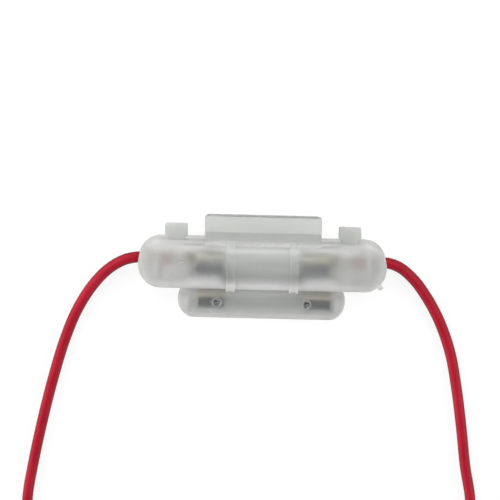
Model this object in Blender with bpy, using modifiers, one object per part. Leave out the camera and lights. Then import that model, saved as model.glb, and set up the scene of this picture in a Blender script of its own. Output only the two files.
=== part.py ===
"""In-line fuse holder with a clip-in spare fuse.

A hinged two-half case in translucent polyethylene carries one 6.3 x 30 mm
glass fuse in two plated brass clips, with a red lead crimped to each clip.
A snap-in trough for a spare fuse is moulded along the front of the base half.

The holder lies on its back on a table: +X along the case, +Y towards the
hinge web, +Z up.  The origin is the middle of the base half's flat bottom.
All the dimensions below are in millimetres; MM turns them into metres.
"""
import math

import bmesh
import bpy
from mathutils import Matrix, Vector

MM = 0.001

# ---- case ------------------------------------------------------------------
CASE_LENGTH = 55.1        # over both rounded ends
CASE_WIDTH = 10.8
CASE_DEPTH = 10.8         # both halves, closed
END_ROUND = 4.8           # length of each rounded end, in plan
EDGE_ROUND = 3.5          # long edges of the case
WALL = 1.0
PART_LINE = 5.4           # height of the parting plane
PART_GAP = 0.1
BAY_HALF = 24.0           # half length of the inside
BAY_ROUND = 2.0           # inside long edges
BAY_CORNER = 2.1          # inside corners, in plan

# ---- hinge web, lugs and latches -------------------------------------------
WEB_HALF = 12.9           # half width of the folded web
WEB_EDGE = 10.95          # where both layers of the web end, short of the fold
WEB_THICK = 0.8
FOLD_Y = 11.1             # fold line of the living hinge
RAMP_FOOT = (7.3, 6.25)   # y, z: cover web, foot of the ramp
RAMP_TOP = (4.96, 9.0)    # y, z: cover web, top of the ramp
LUG_X = 19.2
LUG_HEAD = 5.0
LUG_NECK = 3.6
LUG_EDGE = 8.72
LUG_THICK = 0.95
BAND_X0, BAND_X1 = 6.0, 7.95   # latch bands over the cover
BAND_RISE = 0.45
CLAW_THICK = 0.4
CLAW_TIP_Z = 4.0
NUB_TURN = math.radians(-50)   # where the gate nub stands on the end's curve
NUB_OUT, NUB_WIDE, NUB_TALL, NUB_Z = 0.95, 0.8, 0.8, 6.2

# ---- fuses -----------------------------------------------------------------
FUSE_LENGTH = 30.0
CAP_RADIUS = 3.15
CAP_LENGTH = 6.2
CAP_WALL = 0.23
CAP_END = 0.4
GLASS_RADIUS = 2.85
GLASS_BORE = 2.1
ELEMENT_RADIUS = 0.15
FUSE_Z = 6.3              # axis of the fuse in use
SPARE_X, SPARE_Y, SPARE_Z = 0.57, -9.25, 3.3

# ---- spare fuse trough -----------------------------------------------------
TROUGH_RADIUS = 4.3
TROUGH_BORE = 3.25
TROUGH_HALF = 18.8
TROUGH_END = 3.6          # length of each rounded end
TROUGH_BAY_HALF = 16.0
TROUGH_MOUTH = 5.0        # width of the snap-in mouth underneath
PUSH_HOLE_X = 10.0
PUSH_HOLE_R = 0.85

# ---- terminals -------------------------------------------------------------
STRIP = 0.4
CLIP_IN, CLIP_OUT = 9.1, 14.6
BARREL_IN, BARREL_OUT = 17.0, 19.8
BARREL_RADIUS = 1.4
BARREL_BORE = 0.82
STOP_IN, STOP_OUT = 15.2, 15.6

# ---- leads -----------------------------------------------------------------
LEAD_RADIUS = 1.25
STRAND_RADIUS = 0.75
LEAD_Z = 3.0              # height of the lead where it leaves the case
LEAD_START = 20.4
HOLE_RADIUS = 1.45
FLOOR_Z = 1.28            # axis of a lead that lies on the table
TIE_Z = 1.9               # axis of the tails where they pass through the tie
TIP_RADIUS = 0.66
TIP_LENGTH = 5.0
TIE_X = -4.0
TAIL_Y_LEFT, TAIL_Y_RIGHT = -72.3, -69.5

# Routes of the two leads, from inside the case to the stripped end: straight
# out of the end wall, down to the table, forward in a wide arch, then turned
# inward so that both tails lie side by side in a small tie.
ROUTE_LEFT = [
    (-LEAD_START, 0, LEAD_Z), (-24.2, 0, LEAD_Z), (-28.0, 0, LEAD_Z),
    (-30.9, -0.8, 2.75), (-34.5, -3.3, 2.1), (-38.1, -7.5, 1.5),
    (-41.6, -13.5, FLOOR_Z), (-44.5, -21.0, FLOOR_Z), (-47.2, -30.5, FLOOR_Z),
    (-49.6, -40.5, FLOOR_Z), (-51.7, -50.6, FLOOR_Z), (-53.3, -60.3, FLOOR_Z),
    (-53.2, -65.6, FLOOR_Z), (-50.3, -70.25, FLOOR_Z), (-45.0, -72.2, FLOOR_Z),
    (-36.0, TAIL_Y_LEFT, FLOOR_Z), (-24.0, TAIL_Y_LEFT, FLOOR_Z + 0.05),
    (-14.0, TAIL_Y_LEFT, FLOOR_Z + 0.3), (TIE_X, TAIL_Y_LEFT, TIE_Z),
    (6.0, TAIL_Y_LEFT, FLOOR_Z + 0.3), (12.5, TAIL_Y_LEFT, FLOOR_Z + 0.05),
    (19.0, TAIL_Y_LEFT - 0.1, FLOOR_Z)]
ROUTE_RIGHT = [
    (LEAD_START, 0, LEAD_Z), (24.2, 0, LEAD_Z), (28.0, 0, LEAD_Z),
    (30.8, -1.1, 2.7), (34.1, -4.1, 2.0), (37.1, -8.2, 1.45),
    (40.3, -13.9, FLOOR_Z), (43.2, -21.5, FLOOR_Z), (45.2, -30.5, FLOOR_Z),
    (46.8, -40.0, FLOOR_Z), (48.2, -49.5, FLOOR_Z), (49.9, -58.2, FLOOR_Z),
    (49.9, -63.3, FLOOR_Z), (47.0, -67.7, FLOOR_Z), (41.8, -69.4, FLOOR_Z),
    (32.0, TAIL_Y_RIGHT, FLOOR_Z), (18.0, TAIL_Y_RIGHT, FLOOR_Z + 0.05),
    (6.0, TAIL_Y_RIGHT, FLOOR_Z + 0.3), (TIE_X, TAIL_Y_RIGHT, TIE_Z),
    (-14.0, TAIL_Y_RIGHT, FLOOR_Z + 0.3), (-20.5, TAIL_Y_RIGHT, FLOOR_Z + 0.05),
    (-27.0, TAIL_Y_RIGHT + 0.1, FLOOR_Z)]
POINT_STEP = 5.2          # spacing of the points along a lead's tube

for old in list(bpy.data.objects):
    bpy.data.objects.remove(old, do_unlink=True)

PARTS = bpy.data.collections.new("inline_fuse_holder")
TOOLS = bpy.data.collections.new("cutters")
bpy.context.scene.collection.children.link(PARTS)
bpy.context.scene.collection.children.link(TOOLS)


# ---- helpers ---------------------------------------------------------------
def material(name, color, roughness, metallic=0.0, alpha=1.0):
    mat = bpy.data.materials.new(name)
    mat.use_nodes = True
    shader = mat.node_tree.nodes["Principled BSDF"]
    shader.inputs["Base Color"].default_value = (*color, 1.0)
    shader.inputs["Roughness"].default_value = roughness
    shader.inputs["Metallic"].default_value = metallic
    shader.inputs["Alpha"].default_value = alpha
    return mat


MILKY = material("milky_polyethylene", (0.72, 0.74, 0.72), 0.45, 0.0, 0.6)
PLATED = material("plated_brass", (0.72, 0.68, 0.56), 0.3, 1.0)
NICKEL = material("nickel_cap", (0.66, 0.65, 0.62), 0.25, 1.0)
GLASS = material("fuse_glass", (0.85, 0.9, 0.88), 0.05, 0.0, 0.35)
WIRE_ALLOY = material("fuse_wire", (0.7, 0.7, 0.72), 0.3, 1.0)
RED_PVC = material("red_pvc", (0.45, 0.02, 0.04), 0.4)
COPPER = material("tinned_copper", (0.72, 0.62, 0.52), 0.35, 1.0)
TIE_WHITE = material("tie_nylon", (0.85, 0.85, 0.82), 0.5)


def link(name, mesh, collection=PARTS, mat=None):
    obj = bpy.data.objects.new(name, mesh)
    collection.objects.link(obj)
    if mat is not None:
        mesh.materials.append(mat)
    return obj


def tool(name, mesh):
    obj = link(name, mesh, TOOLS)
    obj.hide_render = True
    obj.display_type = "WIRE"
    return obj


def finish(name, bm, smooth=False):
    bmesh.ops.recalc_face_normals(bm, faces=bm.faces)
    bmesh.ops.scale(bm, vec=Vector((MM, MM, MM)), verts=bm.verts)
    mesh = bpy.data.meshes.new(name)
    bm.to_mesh(mesh)
    bm.free()
    if smooth:
        mesh.shade_smooth()
        mesh.set_sharp_from_angle(angle=math.radians(35))
    return mesh


def plan_stadium(half_x, half_y, end, steps):
    """Straight long sides and half-elliptical ends."""
    pts = []
    for k in range(steps + 1):
        a = -math.pi / 2 + math.pi * k / steps
        pts.append((half_x - end + end * math.cos(a), half_y * math.sin(a)))
    return pts + [(-x, -y) for x, y in pts]


def plan_box(half_x, half_y, radius, steps):
    """Rectangle with round corners."""
    pts = []
    for cx, cy, a0 in ((1, -1, -90), (1, 1, 0), (-1, 1, 90), (-1, -1, 180)):
        for k in range(steps + 1):
            a = math.radians(a0 + 90.0 * k / steps)
            pts.append((cx * (half_x - radius) + radius * math.cos(a),
                        cy * (half_y - radius) + radius * math.sin(a)))
    return pts


def prism(name, outline, z0, z1, round_bottom=0.0, round_top=0.0, steps=5):
    """A flat outline pulled up, with its rims rounded."""
    bm = bmesh.new()
    verts = [bm.verts.new((x, y, z0)) for x, y in outline]
    face = bm.faces.new(verts)
    out = bmesh.ops.extrude_face_region(bm, geom=[face])
    up = [g for g in out["geom"] if isinstance(g, bmesh.types.BMVert)]
    bmesh.ops.translate(bm, verts=up, vec=(0, 0, z1 - z0))
    for level, radius in ((z0, round_bottom), (z1, round_top)):
        if radius > 0:
            rim = [e for e in bm.edges
                   if all(abs(v.co.z - level) < 1e-6 for v in e.verts)]
            bmesh.ops.bevel(bm, geom=rim, offset=radius, offset_type="OFFSET",
                            segments=steps, profile=0.5, affect="EDGES",
                            clamp_overlap=False)
    return finish(name, bm)


def bar(name, section, x0, x1, corner_y=None, corner_radius=0.0):
    """A (y, z) section pulled along X; its edges at y = corner_y are rounded."""
    bm = bmesh.new()
    face = bm.faces.new([bm.verts.new((x0, y, z)) for y, z in section])
    out = bmesh.ops.extrude_face_region(bm, geom=[face])
    far = [g for g in out["geom"] if isinstance(g, bmesh.types.BMVert)]
    bmesh.ops.translate(bm, verts=far, vec=(x1 - x0, 0, 0))
    if corner_y is not None:
        corner = [e for e in bm.edges
                  if all(abs(v.co.y - corner_y) < 1e-6 for v in e.verts)
                  and abs(e.verts[0].co.x - e.verts[1].co.x) < 1e-6]
        bmesh.ops.bevel(bm, geom=corner, offset=corner_radius,
                        offset_type="OFFSET", segments=4, profile=0.5,
                        affect="EDGES", clamp_overlap=False)
    return finish(name, bm)


def block(name, lo, hi):
    bm = bmesh.new()
    bmesh.ops.create_cube(bm, size=1.0)
    bmesh.ops.scale(bm, vec=[b - a for a, b in zip(lo, hi)], verts=bm.verts)
    bmesh.ops.translate(bm, vec=[(a + b) / 2 for a, b in zip(lo, hi)],
                        verts=bm.verts)
    return finish(name, bm)


def rod(name, radius, x0, x1, y, z, sides=32, end_round=0.0):
    """A cylinder along X; end_round rounds both of its rims."""
    bm = bmesh.new()
    bmesh.ops.create_cone(bm, cap_ends=True, segments=sides, radius1=radius,
                          radius2=radius, depth=abs(x1 - x0),
                          matrix=Matrix.Rotation(math.pi / 2, 4, "Y"))
    if end_round > 0:
        rim = [e for e in bm.edges
               if abs(e.verts[0].co.x - e.verts[1].co.x) < 1e-6]
        bmesh.ops.bevel(bm, geom=rim, offset=end_round, offset_type="OFFSET",
                        segments=2, profile=0.5, affect="EDGES",
                        clamp_overlap=False)
    bmesh.ops.translate(bm, vec=((x0 + x1) / 2, y, z), verts=bm.verts)
    return finish(name, bm, smooth=True)


def pin(name, radius, x, y, z0, z1, sides=20):
    """A cylinder along Z."""
    bm = bmesh.new()
    bmesh.ops.create_cone(bm, cap_ends=True, segments=sides, radius1=radius,
                          radius2=radius, depth=z1 - z0)
    bmesh.ops.translate(bm, vec=(x, y, (z0 + z1) / 2), verts=bm.verts)
    return finish(name, bm)


def capsule(name, radius, half, end, y, z):
    """A cylinder along X with half-ellipsoid ends, from a stretched sphere."""
    rings = 15
    bm = bmesh.new()
    bmesh.ops.create_uvsphere(bm, u_segments=32, v_segments=rings, radius=1.0,
                              matrix=Matrix.Rotation(math.pi / 2, 4, "Y"))
    belt = math.cos(math.pi / (2 * rings))
    for v in bm.verts:
        side = 1.0 if v.co.x > 0 else -1.0
        v.co = Vector((v.co.x * end + side * (half - end),
                       v.co.y * radius / belt + y, v.co.z * radius / belt + z))
    return finish(name, bm)


def boolean(obj, mesh, operation):
    other = tool(mesh.name, mesh)
    mod = obj.modifiers.new(operation.lower() + "_" + mesh.name, "BOOLEAN")
    mod.operation = operation
    mod.solver = "EXACT"
    mod.object = other


def arc(cy, cz, radius, a0, a1, steps):
    return [(cy + radius * math.cos(math.radians(a0 + (a1 - a0) * k / steps)),
             cz + radius * math.sin(math.radians(a0 + (a1 - a0) * k / steps)))
            for k in range(steps + 1)]


def lug(name, side, z0, z1):
    """A T-shaped lug: a narrow neck at the case and a wider head."""
    neck, head = LUG_NECK / 2, LUG_HEAD / 2
    y_in, y_neck, y_out, r = 4.9, 6.15, LUG_EDGE, 0.4
    half = [(neck, y_in), (neck, y_neck), (head, y_neck + 0.1)]
    half += [(head - r + r * math.cos(a), y_out - r + r * math.sin(a))
             for a in (0.0, math.pi / 6, math.pi / 3, math.pi / 2)]
    outline = half + [(-x, y) for x, y in reversed(half)]
    return prism(name, [(x + side * LUG_X, y) for x, y in outline], z0, z1)


def nub(name):
    """The stub left by the moulding gate, square to the rounded end."""
    bm = bmesh.new()
    bmesh.ops.create_cube(bm, size=1.0)
    bmesh.ops.scale(bm, vec=(NUB_OUT + 0.6, NUB_WIDE, NUB_TALL), verts=bm.verts)
    bmesh.ops.translate(bm, vec=((NUB_OUT - 0.6) / 2, 0, 0), verts=bm.verts)
    x = half_x - END_ROUND + END_ROUND * math.cos(NUB_TURN)
    y = half_y * math.sin(NUB_TURN)
    out = math.atan2(math.sin(NUB_TURN) / half_y, math.cos(NUB_TURN) / END_ROUND)
    bmesh.ops.transform(bm, matrix=Matrix.Translation((x, y, NUB_Z))
                        @ Matrix.Rotation(out, 4, "Z"), verts=bm.verts)
    return finish(name, bm)


# ---- base half -------------------------------------------------------------
half_x, half_y = CASE_LENGTH / 2, CASE_WIDTH / 2
base_top = PART_LINE - PART_GAP / 2
cover_bottom = PART_LINE + PART_GAP / 2
outline = plan_stadium(half_x, half_y, END_ROUND, 12)
bay_plan = plan_box(BAY_HALF, half_y - WALL, BAY_CORNER, 3)

base = link("base_shell", prism("base_shell", outline, 0.0, base_top,
                                round_bottom=EDGE_ROUND), mat=MILKY)
boolean(base, bar("base_web", [(4.9, base_top - WEB_THICK), (4.9, base_top),
                               (WEB_EDGE, base_top),
                               (WEB_EDGE, base_top - WEB_THICK)],
                  -WEB_HALF, WEB_HALF, WEB_EDGE, 0.75), "UNION")
for side, word in ((-1, "left"), (1, "right")):
    boolean(base, lug("base_lug_" + word, side, base_top - LUG_THICK,
                      base_top), "UNION")
boolean(base, capsule("trough_body", TROUGH_RADIUS, TROUGH_HALF, TROUGH_END,
                      SPARE_Y, SPARE_Z), "UNION")
boolean(base, block("trough_foot", (-30, SPARE_Y - 6, -5),
                    (30, SPARE_Y + 6, 0.0)), "DIFFERENCE")
boolean(base, block("trough_relief", (-21, -half_y - 0.3, 5.2),
                    (21, -half_y + 0.02, 8.0)), "DIFFERENCE")
boolean(base, prism("base_bay", bay_plan, WALL, 8.0, round_bottom=BAY_ROUND,
                    steps=4), "DIFFERENCE")
for side, word in ((-1, "left"), (1, "right")):
    x0, x1 = sorted((side * 9.5, side * 14.2))
    boolean(base, block("clip_seat_" + word, (x0, -2.2, 0.6),
                        (x1, 2.2, 2.35)), "UNION")
boolean(base, rod("trough_bore", TROUGH_BORE, -TROUGH_BAY_HALF,
                  TROUGH_BAY_HALF, SPARE_Y, SPARE_Z), "DIFFERENCE")
boolean(base, block("trough_mouth",
                    (-TROUGH_BAY_HALF, SPARE_Y - TROUGH_MOUTH / 2, -2.0),
                    (TROUGH_BAY_HALF, SPARE_Y + TROUGH_MOUTH / 2, SPARE_Z)),
        "DIFFERENCE")
for side, word in ((-1, "left"), (1, "right")):
    boolean(base, pin("push_hole_" + word, PUSH_HOLE_R, side * PUSH_HOLE_X,
                      SPARE_Y + 0.4, SPARE_Z + 1.0, SPARE_Z + 6.0),
            "DIFFERENCE")
    x0, x1 = sorted((side * (BAND_X0 - 0.2), side * (BAND_X1 + 0.2)))
    boolean(base, block("claw_slot_" + word, (x0, -half_y - 0.6, 3.8),
                        (x1, -half_y + 0.02, 7.0)), "DIFFERENCE")
    boolean(base, block("claw_pocket_" + word, (x0, -half_y - 0.3, 3.82),
                        (x1, -half_y + 0.45, 4.85)), "DIFFERENCE")
    x0, x1 = sorted((side * (BAY_HALF - 1.0), side * (half_x + 2.0)))
    boolean(base, rod("lead_hole_" + word, HOLE_RADIUS, x0, x1, 0.0, LEAD_Z,
                      24), "DIFFERENCE")

# ---- cover half ------------------------------------------------------------
corner_y, corner_z = half_y - EDGE_ROUND, CASE_DEPTH - EDGE_ROUND
cover = link("cover_shell", prism("cover_shell", outline, cover_bottom,
                                  CASE_DEPTH, round_top=EDGE_ROUND),
             mat=MILKY)
boolean(cover, bar("cover_web", [(3.4, cover_bottom), (WEB_EDGE, cover_bottom),
                                 (WEB_EDGE, cover_bottom + WEB_THICK),
                                 RAMP_FOOT, RAMP_TOP, (3.4, 8.7)],
                   -WEB_HALF, WEB_HALF, WEB_EDGE, 0.75), "UNION")
for side, word in ((-1, "left"), (1, "right")):
    boolean(cover, lug("cover_lug_" + word, side, cover_bottom,
                       cover_bottom + LUG_THICK), "UNION")
claw_in = -half_y - 0.05
claw_out = claw_in - CLAW_THICK
outer = EDGE_ROUND + BAND_RISE
band = [(5.9, 7.9)]
band += arc(corner_y, corner_z, outer, 25, 90, 5)
band += arc(-corner_y, corner_z, outer, 90, 180, 6)
band += [(claw_out, 6.2), (claw_out, CLAW_TIP_Z + 0.25),
         (claw_out + 0.15, CLAW_TIP_Z), (claw_in + 0.15, CLAW_TIP_Z),
         (claw_in + 0.35, CLAW_TIP_Z + 0.2), (claw_in + 0.35, CLAW_TIP_Z + 0.55),
         (claw_in, CLAW_TIP_Z + 0.8), (claw_in, cover_bottom + 0.15),
         (-4.9, cover_bottom + 0.3)]
band += arc(-corner_y, corner_z, 3.0, 180, 90, 4)
band += arc(corner_y, corner_z, 3.0, 90, 25, 3)
for side, word in ((-1, "left"), (1, "right")):
    x0, x1 = sorted((side * BAND_X0, side * BAND_X1))
    boolean(cover, bar("latch_band_" + word, band, x0, x1), "UNION")
boolean(cover, nub("gate_nub"), "UNION")
boolean(cover, prism("cover_bay", bay_plan, 3.0, CASE_DEPTH - WALL,
                     round_top=BAY_ROUND, steps=4), "DIFFERENCE")


# ---- fuses -----------------------------------------------------------------
def fuse(prefix, x, y, z):
    end = FUSE_LENGTH / 2
    glass = link(prefix + "_glass", rod(prefix + "_glass", GLASS_RADIUS,
                                        x - end + CAP_END + 0.1,
                                        x + end - CAP_END - 0.1, y, z),
                 mat=GLASS)
    boolean(glass, rod(prefix + "_glass_bore", GLASS_BORE, x - end, x + end,
                       y, z), "DIFFERENCE")
    for side, word in ((-1, "left"), (1, "right")):
        x0, x1 = sorted((x + side * end, x + side * (end - CAP_LENGTH)))
        cap = link(prefix + "_cap_" + word,
                   rod(prefix + "_cap_" + word, CAP_RADIUS, x0, x1, y, z,
                       end_round=0.12), mat=NICKEL)
        x0, x1 = sorted((x + side * (end - CAP_END),
                         x + side * (end - CAP_LENGTH - 1.0)))
        boolean(cap, rod(prefix + "_cap_bore_" + word, CAP_RADIUS - CAP_WALL,
                         x0, x1, y, z), "DIFFERENCE")
    inner = end - CAP_END - 0.1
    link(prefix + "_element", rod(prefix + "_element", ELEMENT_RADIUS,
                                  x - inner, x + inner, y, z, 8),
         mat=WIRE_ALLOY)


fuse("fuse", 0.0, 0.0, FUSE_Z)
fuse("spare_fuse", SPARE_X, SPARE_Y, SPARE_Z)


# ---- terminals -------------------------------------------------------------
def sheet(name, path, x0, x1):
    """An open surface over a (y, z) path, thickened to the strip's gauge."""
    bm = bmesh.new()
    near = [bm.verts.new((x0, y, z)) for y, z in path]
    far = [bm.verts.new((x1, y, z)) for y, z in path]
    for k in range(len(path) - 1):
        bm.faces.new((near[k], near[k + 1], far[k + 1], far[k]))
    return finish(name, bm)


def strip_bar(name, path, half_width, thick):
    """A flat strip bent along an (x, z) path."""
    bm = bmesh.new()
    top = [bm.verts.new((x, -half_width, z + thick / 2)) for x, z in path]
    low = [bm.verts.new((x, -half_width, z - thick / 2)) for x, z in path]
    face = bm.faces.new(top + list(reversed(low)))
    out = bmesh.ops.extrude_face_region(bm, geom=[face])
    far = [g for g in out["geom"] if isinstance(g, bmesh.types.BMVert)]
    bmesh.ops.translate(bm, verts=far, vec=(0, 2 * half_width, 0))
    return finish(name, bm)


clip_mid = CAP_RADIUS + 0.06 + STRIP / 2
seat_z = FUSE_Z - CAP_RADIUS - 0.28 - STRIP / 2
half_clip = [(1.75, seat_z)] + arc(0, FUSE_Z, clip_mid, -45, 35, 7)
half_clip += [(3.0, FUSE_Z + 2.25), (3.45, FUSE_Z + 2.75)]
clip_path = [(-y, z) for y, z in reversed(half_clip)] + half_clip

for side, word in ((-1, "left"), (1, "right")):
    x0, x1 = sorted((side * CLIP_IN, side * CLIP_OUT))
    term = link("terminal_" + word, sheet("terminal_" + word, clip_path,
                                          x0, x1), mat=PLATED)
    solid = term.modifiers.new("gauge", "SOLIDIFY")
    solid.thickness = STRIP * MM
    solid.offset = 0.0
    solid.use_even_offset = True
    joggle = [(side * (CLIP_OUT - 1.0), seat_z), (side * 15.5, seat_z),
              (side * 16.6, 1.4), (side * (BARREL_OUT + 0.1), 1.4)]
    boolean(term, strip_bar("strip_" + word, joggle, 1.3, 0.46), "UNION")
    x0, x1 = sorted((side * STOP_IN, side * STOP_OUT))
    for tip in (-1, 1):
        y0, y1 = sorted((tip * 0.9, tip * 2.5))
        boolean(term, block("stop_%s_%d" % (word, tip), (x0, y0, seat_z - 0.1),
                            (x1, y1, 5.3)), "UNION")
    x0, x1 = sorted((side * BARREL_IN, side * BARREL_OUT))
    boolean(term, rod("barrel_" + word, BARREL_RADIUS, x0, x1, 0.0, LEAD_Z,
                      20), "UNION")
    boolean(term, rod("barrel_bore_" + word, BARREL_BORE, x0 - 0.6, x1 + 0.6,
                      0.0, LEAD_Z, 16), "DIFFERENCE")
    x0, x1 = sorted((side * (BARREL_IN - 0.3), side * (LEAD_START - 0.1)))
    link("conductor_" + word, rod("conductor_" + word, STRAND_RADIUS, x0, x1,
                                  0.0, LEAD_Z, 12), mat=COPPER)


# ---- leads -----------------------------------------------------------------
def smooth_route(points, step, straight=2):
    """The route's straight start, then points at an even spacing along a
    smooth curve through the rest of it."""
    start = [Vector(p) for p in points[:straight]]
    pts = [Vector(p) for p in points[straight - 1:]]
    pts = pts + [pts[-1] * 2 - pts[-2]]
    fine = []
    for a, b, c, d in zip(pts, pts[1:], pts[2:], pts[3:]):
        # knots at the square root of the spacing keep the curve from looping
        t0 = 0.0
        t1 = t0 + (b - a).length ** 0.5
        t2 = t1 + (c - b).length ** 0.5
        t3 = t2 + (d - c).length ** 0.5
        for k in range(24):
            t = t1 + (t2 - t1) * k / 24
            a1 = a.lerp(b, (t - t0) / (t1 - t0))
            a2 = b.lerp(c, (t - t1) / (t2 - t1))
            a3 = c.lerp(d, (t - t2) / (t3 - t2))
            b1 = a1.lerp(a2, (t - t0) / (t2 - t0))
            b2 = a2.lerp(a3, (t - t1) / (t3 - t1))
            fine.append(b1.lerp(b2, (t - t1) / (t2 - t1)))
    fine.append(pts[-2])
    run = [0.0]
    for p, q in zip(fine, fine[1:]):
        run.append(run[-1] + (q - p).length)
    count = max(2, round(run[-1] / step))
    out, j = start, 0
    for k in range(count + 1):
        want = run[-1] * k / count
        while j < len(run) - 2 and run[j + 1] < want:
            j += 1
        span = run[j + 1] - run[j]
        out.append(fine[j].lerp(fine[j + 1], (want - run[j]) / span))
    return out


def tube(name, points, radius, mat):
    curve = bpy.data.curves.new(name, "CURVE")
    curve.dimensions = "3D"
    curve.bevel_depth = radius * MM
    curve.bevel_resolution = 2
    curve.use_fill_caps = True
    spline = curve.splines.new("POLY")
    spline.points.add(len(points) - 1)
    for p, co in zip(spline.points, points):
        p.co = (co[0] * MM, co[1] * MM, co[2] * MM, 1.0)
    return link(name, curve, mat=mat)


for word, route in (("left", ROUTE_LEFT), ("right", ROUTE_RIGHT)):
    points = smooth_route(route, POINT_STEP)
    tube("lead_" + word, points, LEAD_RADIUS, RED_PVC)
    end, before = points[-1], points[-2]
    direction = (end - before).normalized()
    tube("lead_tip_" + word, [end + direction * 0.1,
                              end + direction * TIP_LENGTH], TIP_RADIUS,
         COPPER)

# ---- tie round the two tails -----------------------------------------------
tie_y = (TAIL_Y_LEFT + TAIL_Y_RIGHT) / 2
inner_y = (TAIL_Y_RIGHT - TAIL_Y_LEFT) / 2 + LEAD_RADIUS + 0.1
inner_z = LEAD_RADIUS + 0.1


def loop_section(grow):
    r = inner_z + grow
    reach = inner_y + grow - r
    return (arc(tie_y + reach, TIE_Z, r, -90, 90, 8)
            + arc(tie_y - reach, TIE_Z, r, 90, 270, 8))


tie = link("lead_tie", bar("lead_tie", loop_section(0.5), TIE_X - 1.2,
                           TIE_X + 1.2), mat=TIE_WHITE)
boolean(tie, block("tie_head", (TIE_X - 1.9, tie_y - 1.8, TIE_Z + inner_z + 0.2),
                   (TIE_X + 1.9, tie_y + 1.8, TIE_Z + inner_z + 2.5)), "UNION")
boolean(tie, block("tie_tail", (TIE_X - 1.1, tie_y - 4.4,
                                TIE_Z + inner_z + 0.9),
                   (TIE_X + 1.1, tie_y - 1.5, TIE_Z + inner_z + 1.6)), "UNION")
boolean(tie, bar("tie_inside", loop_section(0.0), TIE_X - 3.0, TIE_X + 3.0),
        "DIFFERENCE")
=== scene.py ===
"""Looks for the in-line fuse holder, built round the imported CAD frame.

Everything is laid out in millimetres in the frame of the CAD (+X along the
case, +Y towards the hinge web, +Z up) and turned into metres by MM.
"""
import math

import bmesh
import bpy
from mathutils import Matrix, Vector


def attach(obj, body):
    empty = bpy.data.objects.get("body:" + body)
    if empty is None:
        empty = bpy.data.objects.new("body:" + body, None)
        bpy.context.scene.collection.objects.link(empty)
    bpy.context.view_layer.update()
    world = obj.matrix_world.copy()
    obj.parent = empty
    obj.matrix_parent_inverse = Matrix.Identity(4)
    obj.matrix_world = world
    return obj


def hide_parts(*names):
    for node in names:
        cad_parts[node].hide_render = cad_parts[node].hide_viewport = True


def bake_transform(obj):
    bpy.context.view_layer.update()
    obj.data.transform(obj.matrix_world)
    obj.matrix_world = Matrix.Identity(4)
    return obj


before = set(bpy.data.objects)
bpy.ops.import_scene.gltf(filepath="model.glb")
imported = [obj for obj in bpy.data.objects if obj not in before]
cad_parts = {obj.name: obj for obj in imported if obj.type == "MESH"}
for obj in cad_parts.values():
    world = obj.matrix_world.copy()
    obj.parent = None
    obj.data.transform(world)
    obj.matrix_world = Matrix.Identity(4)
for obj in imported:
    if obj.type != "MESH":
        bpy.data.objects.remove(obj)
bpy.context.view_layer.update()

MM = 0.001
SCENE = bpy.context.scene


# ---- camera ----------------------------------------------------------------
TILT, ROLL = math.radians(18.0), math.radians(1.4)
ct, st, ca, sa = math.cos(TILT), math.sin(TILT), math.cos(ROLL), math.sin(ROLL)
back = Vector((0.0, st, ct))
right = Vector((ca, sa * ct, -sa * st))
up = Vector((-sa, ca * ct, -ca * st))
cam_data = bpy.data.cameras.new("camera")
cam_data.lens = 145.8
cam_data.sensor_width = 36.0
cam_data.clip_start = 0.01
cam_data.clip_end = 20.0
camera = bpy.data.objects.new("camera", cam_data)
SCENE.collection.objects.link(camera)
place = Matrix((right, up, back)).transposed().to_4x4()
place.translation = Vector((-2.8275, 141.8248, 432.4763)) * MM
camera.matrix_world = place
SCENE.camera = camera


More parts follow.
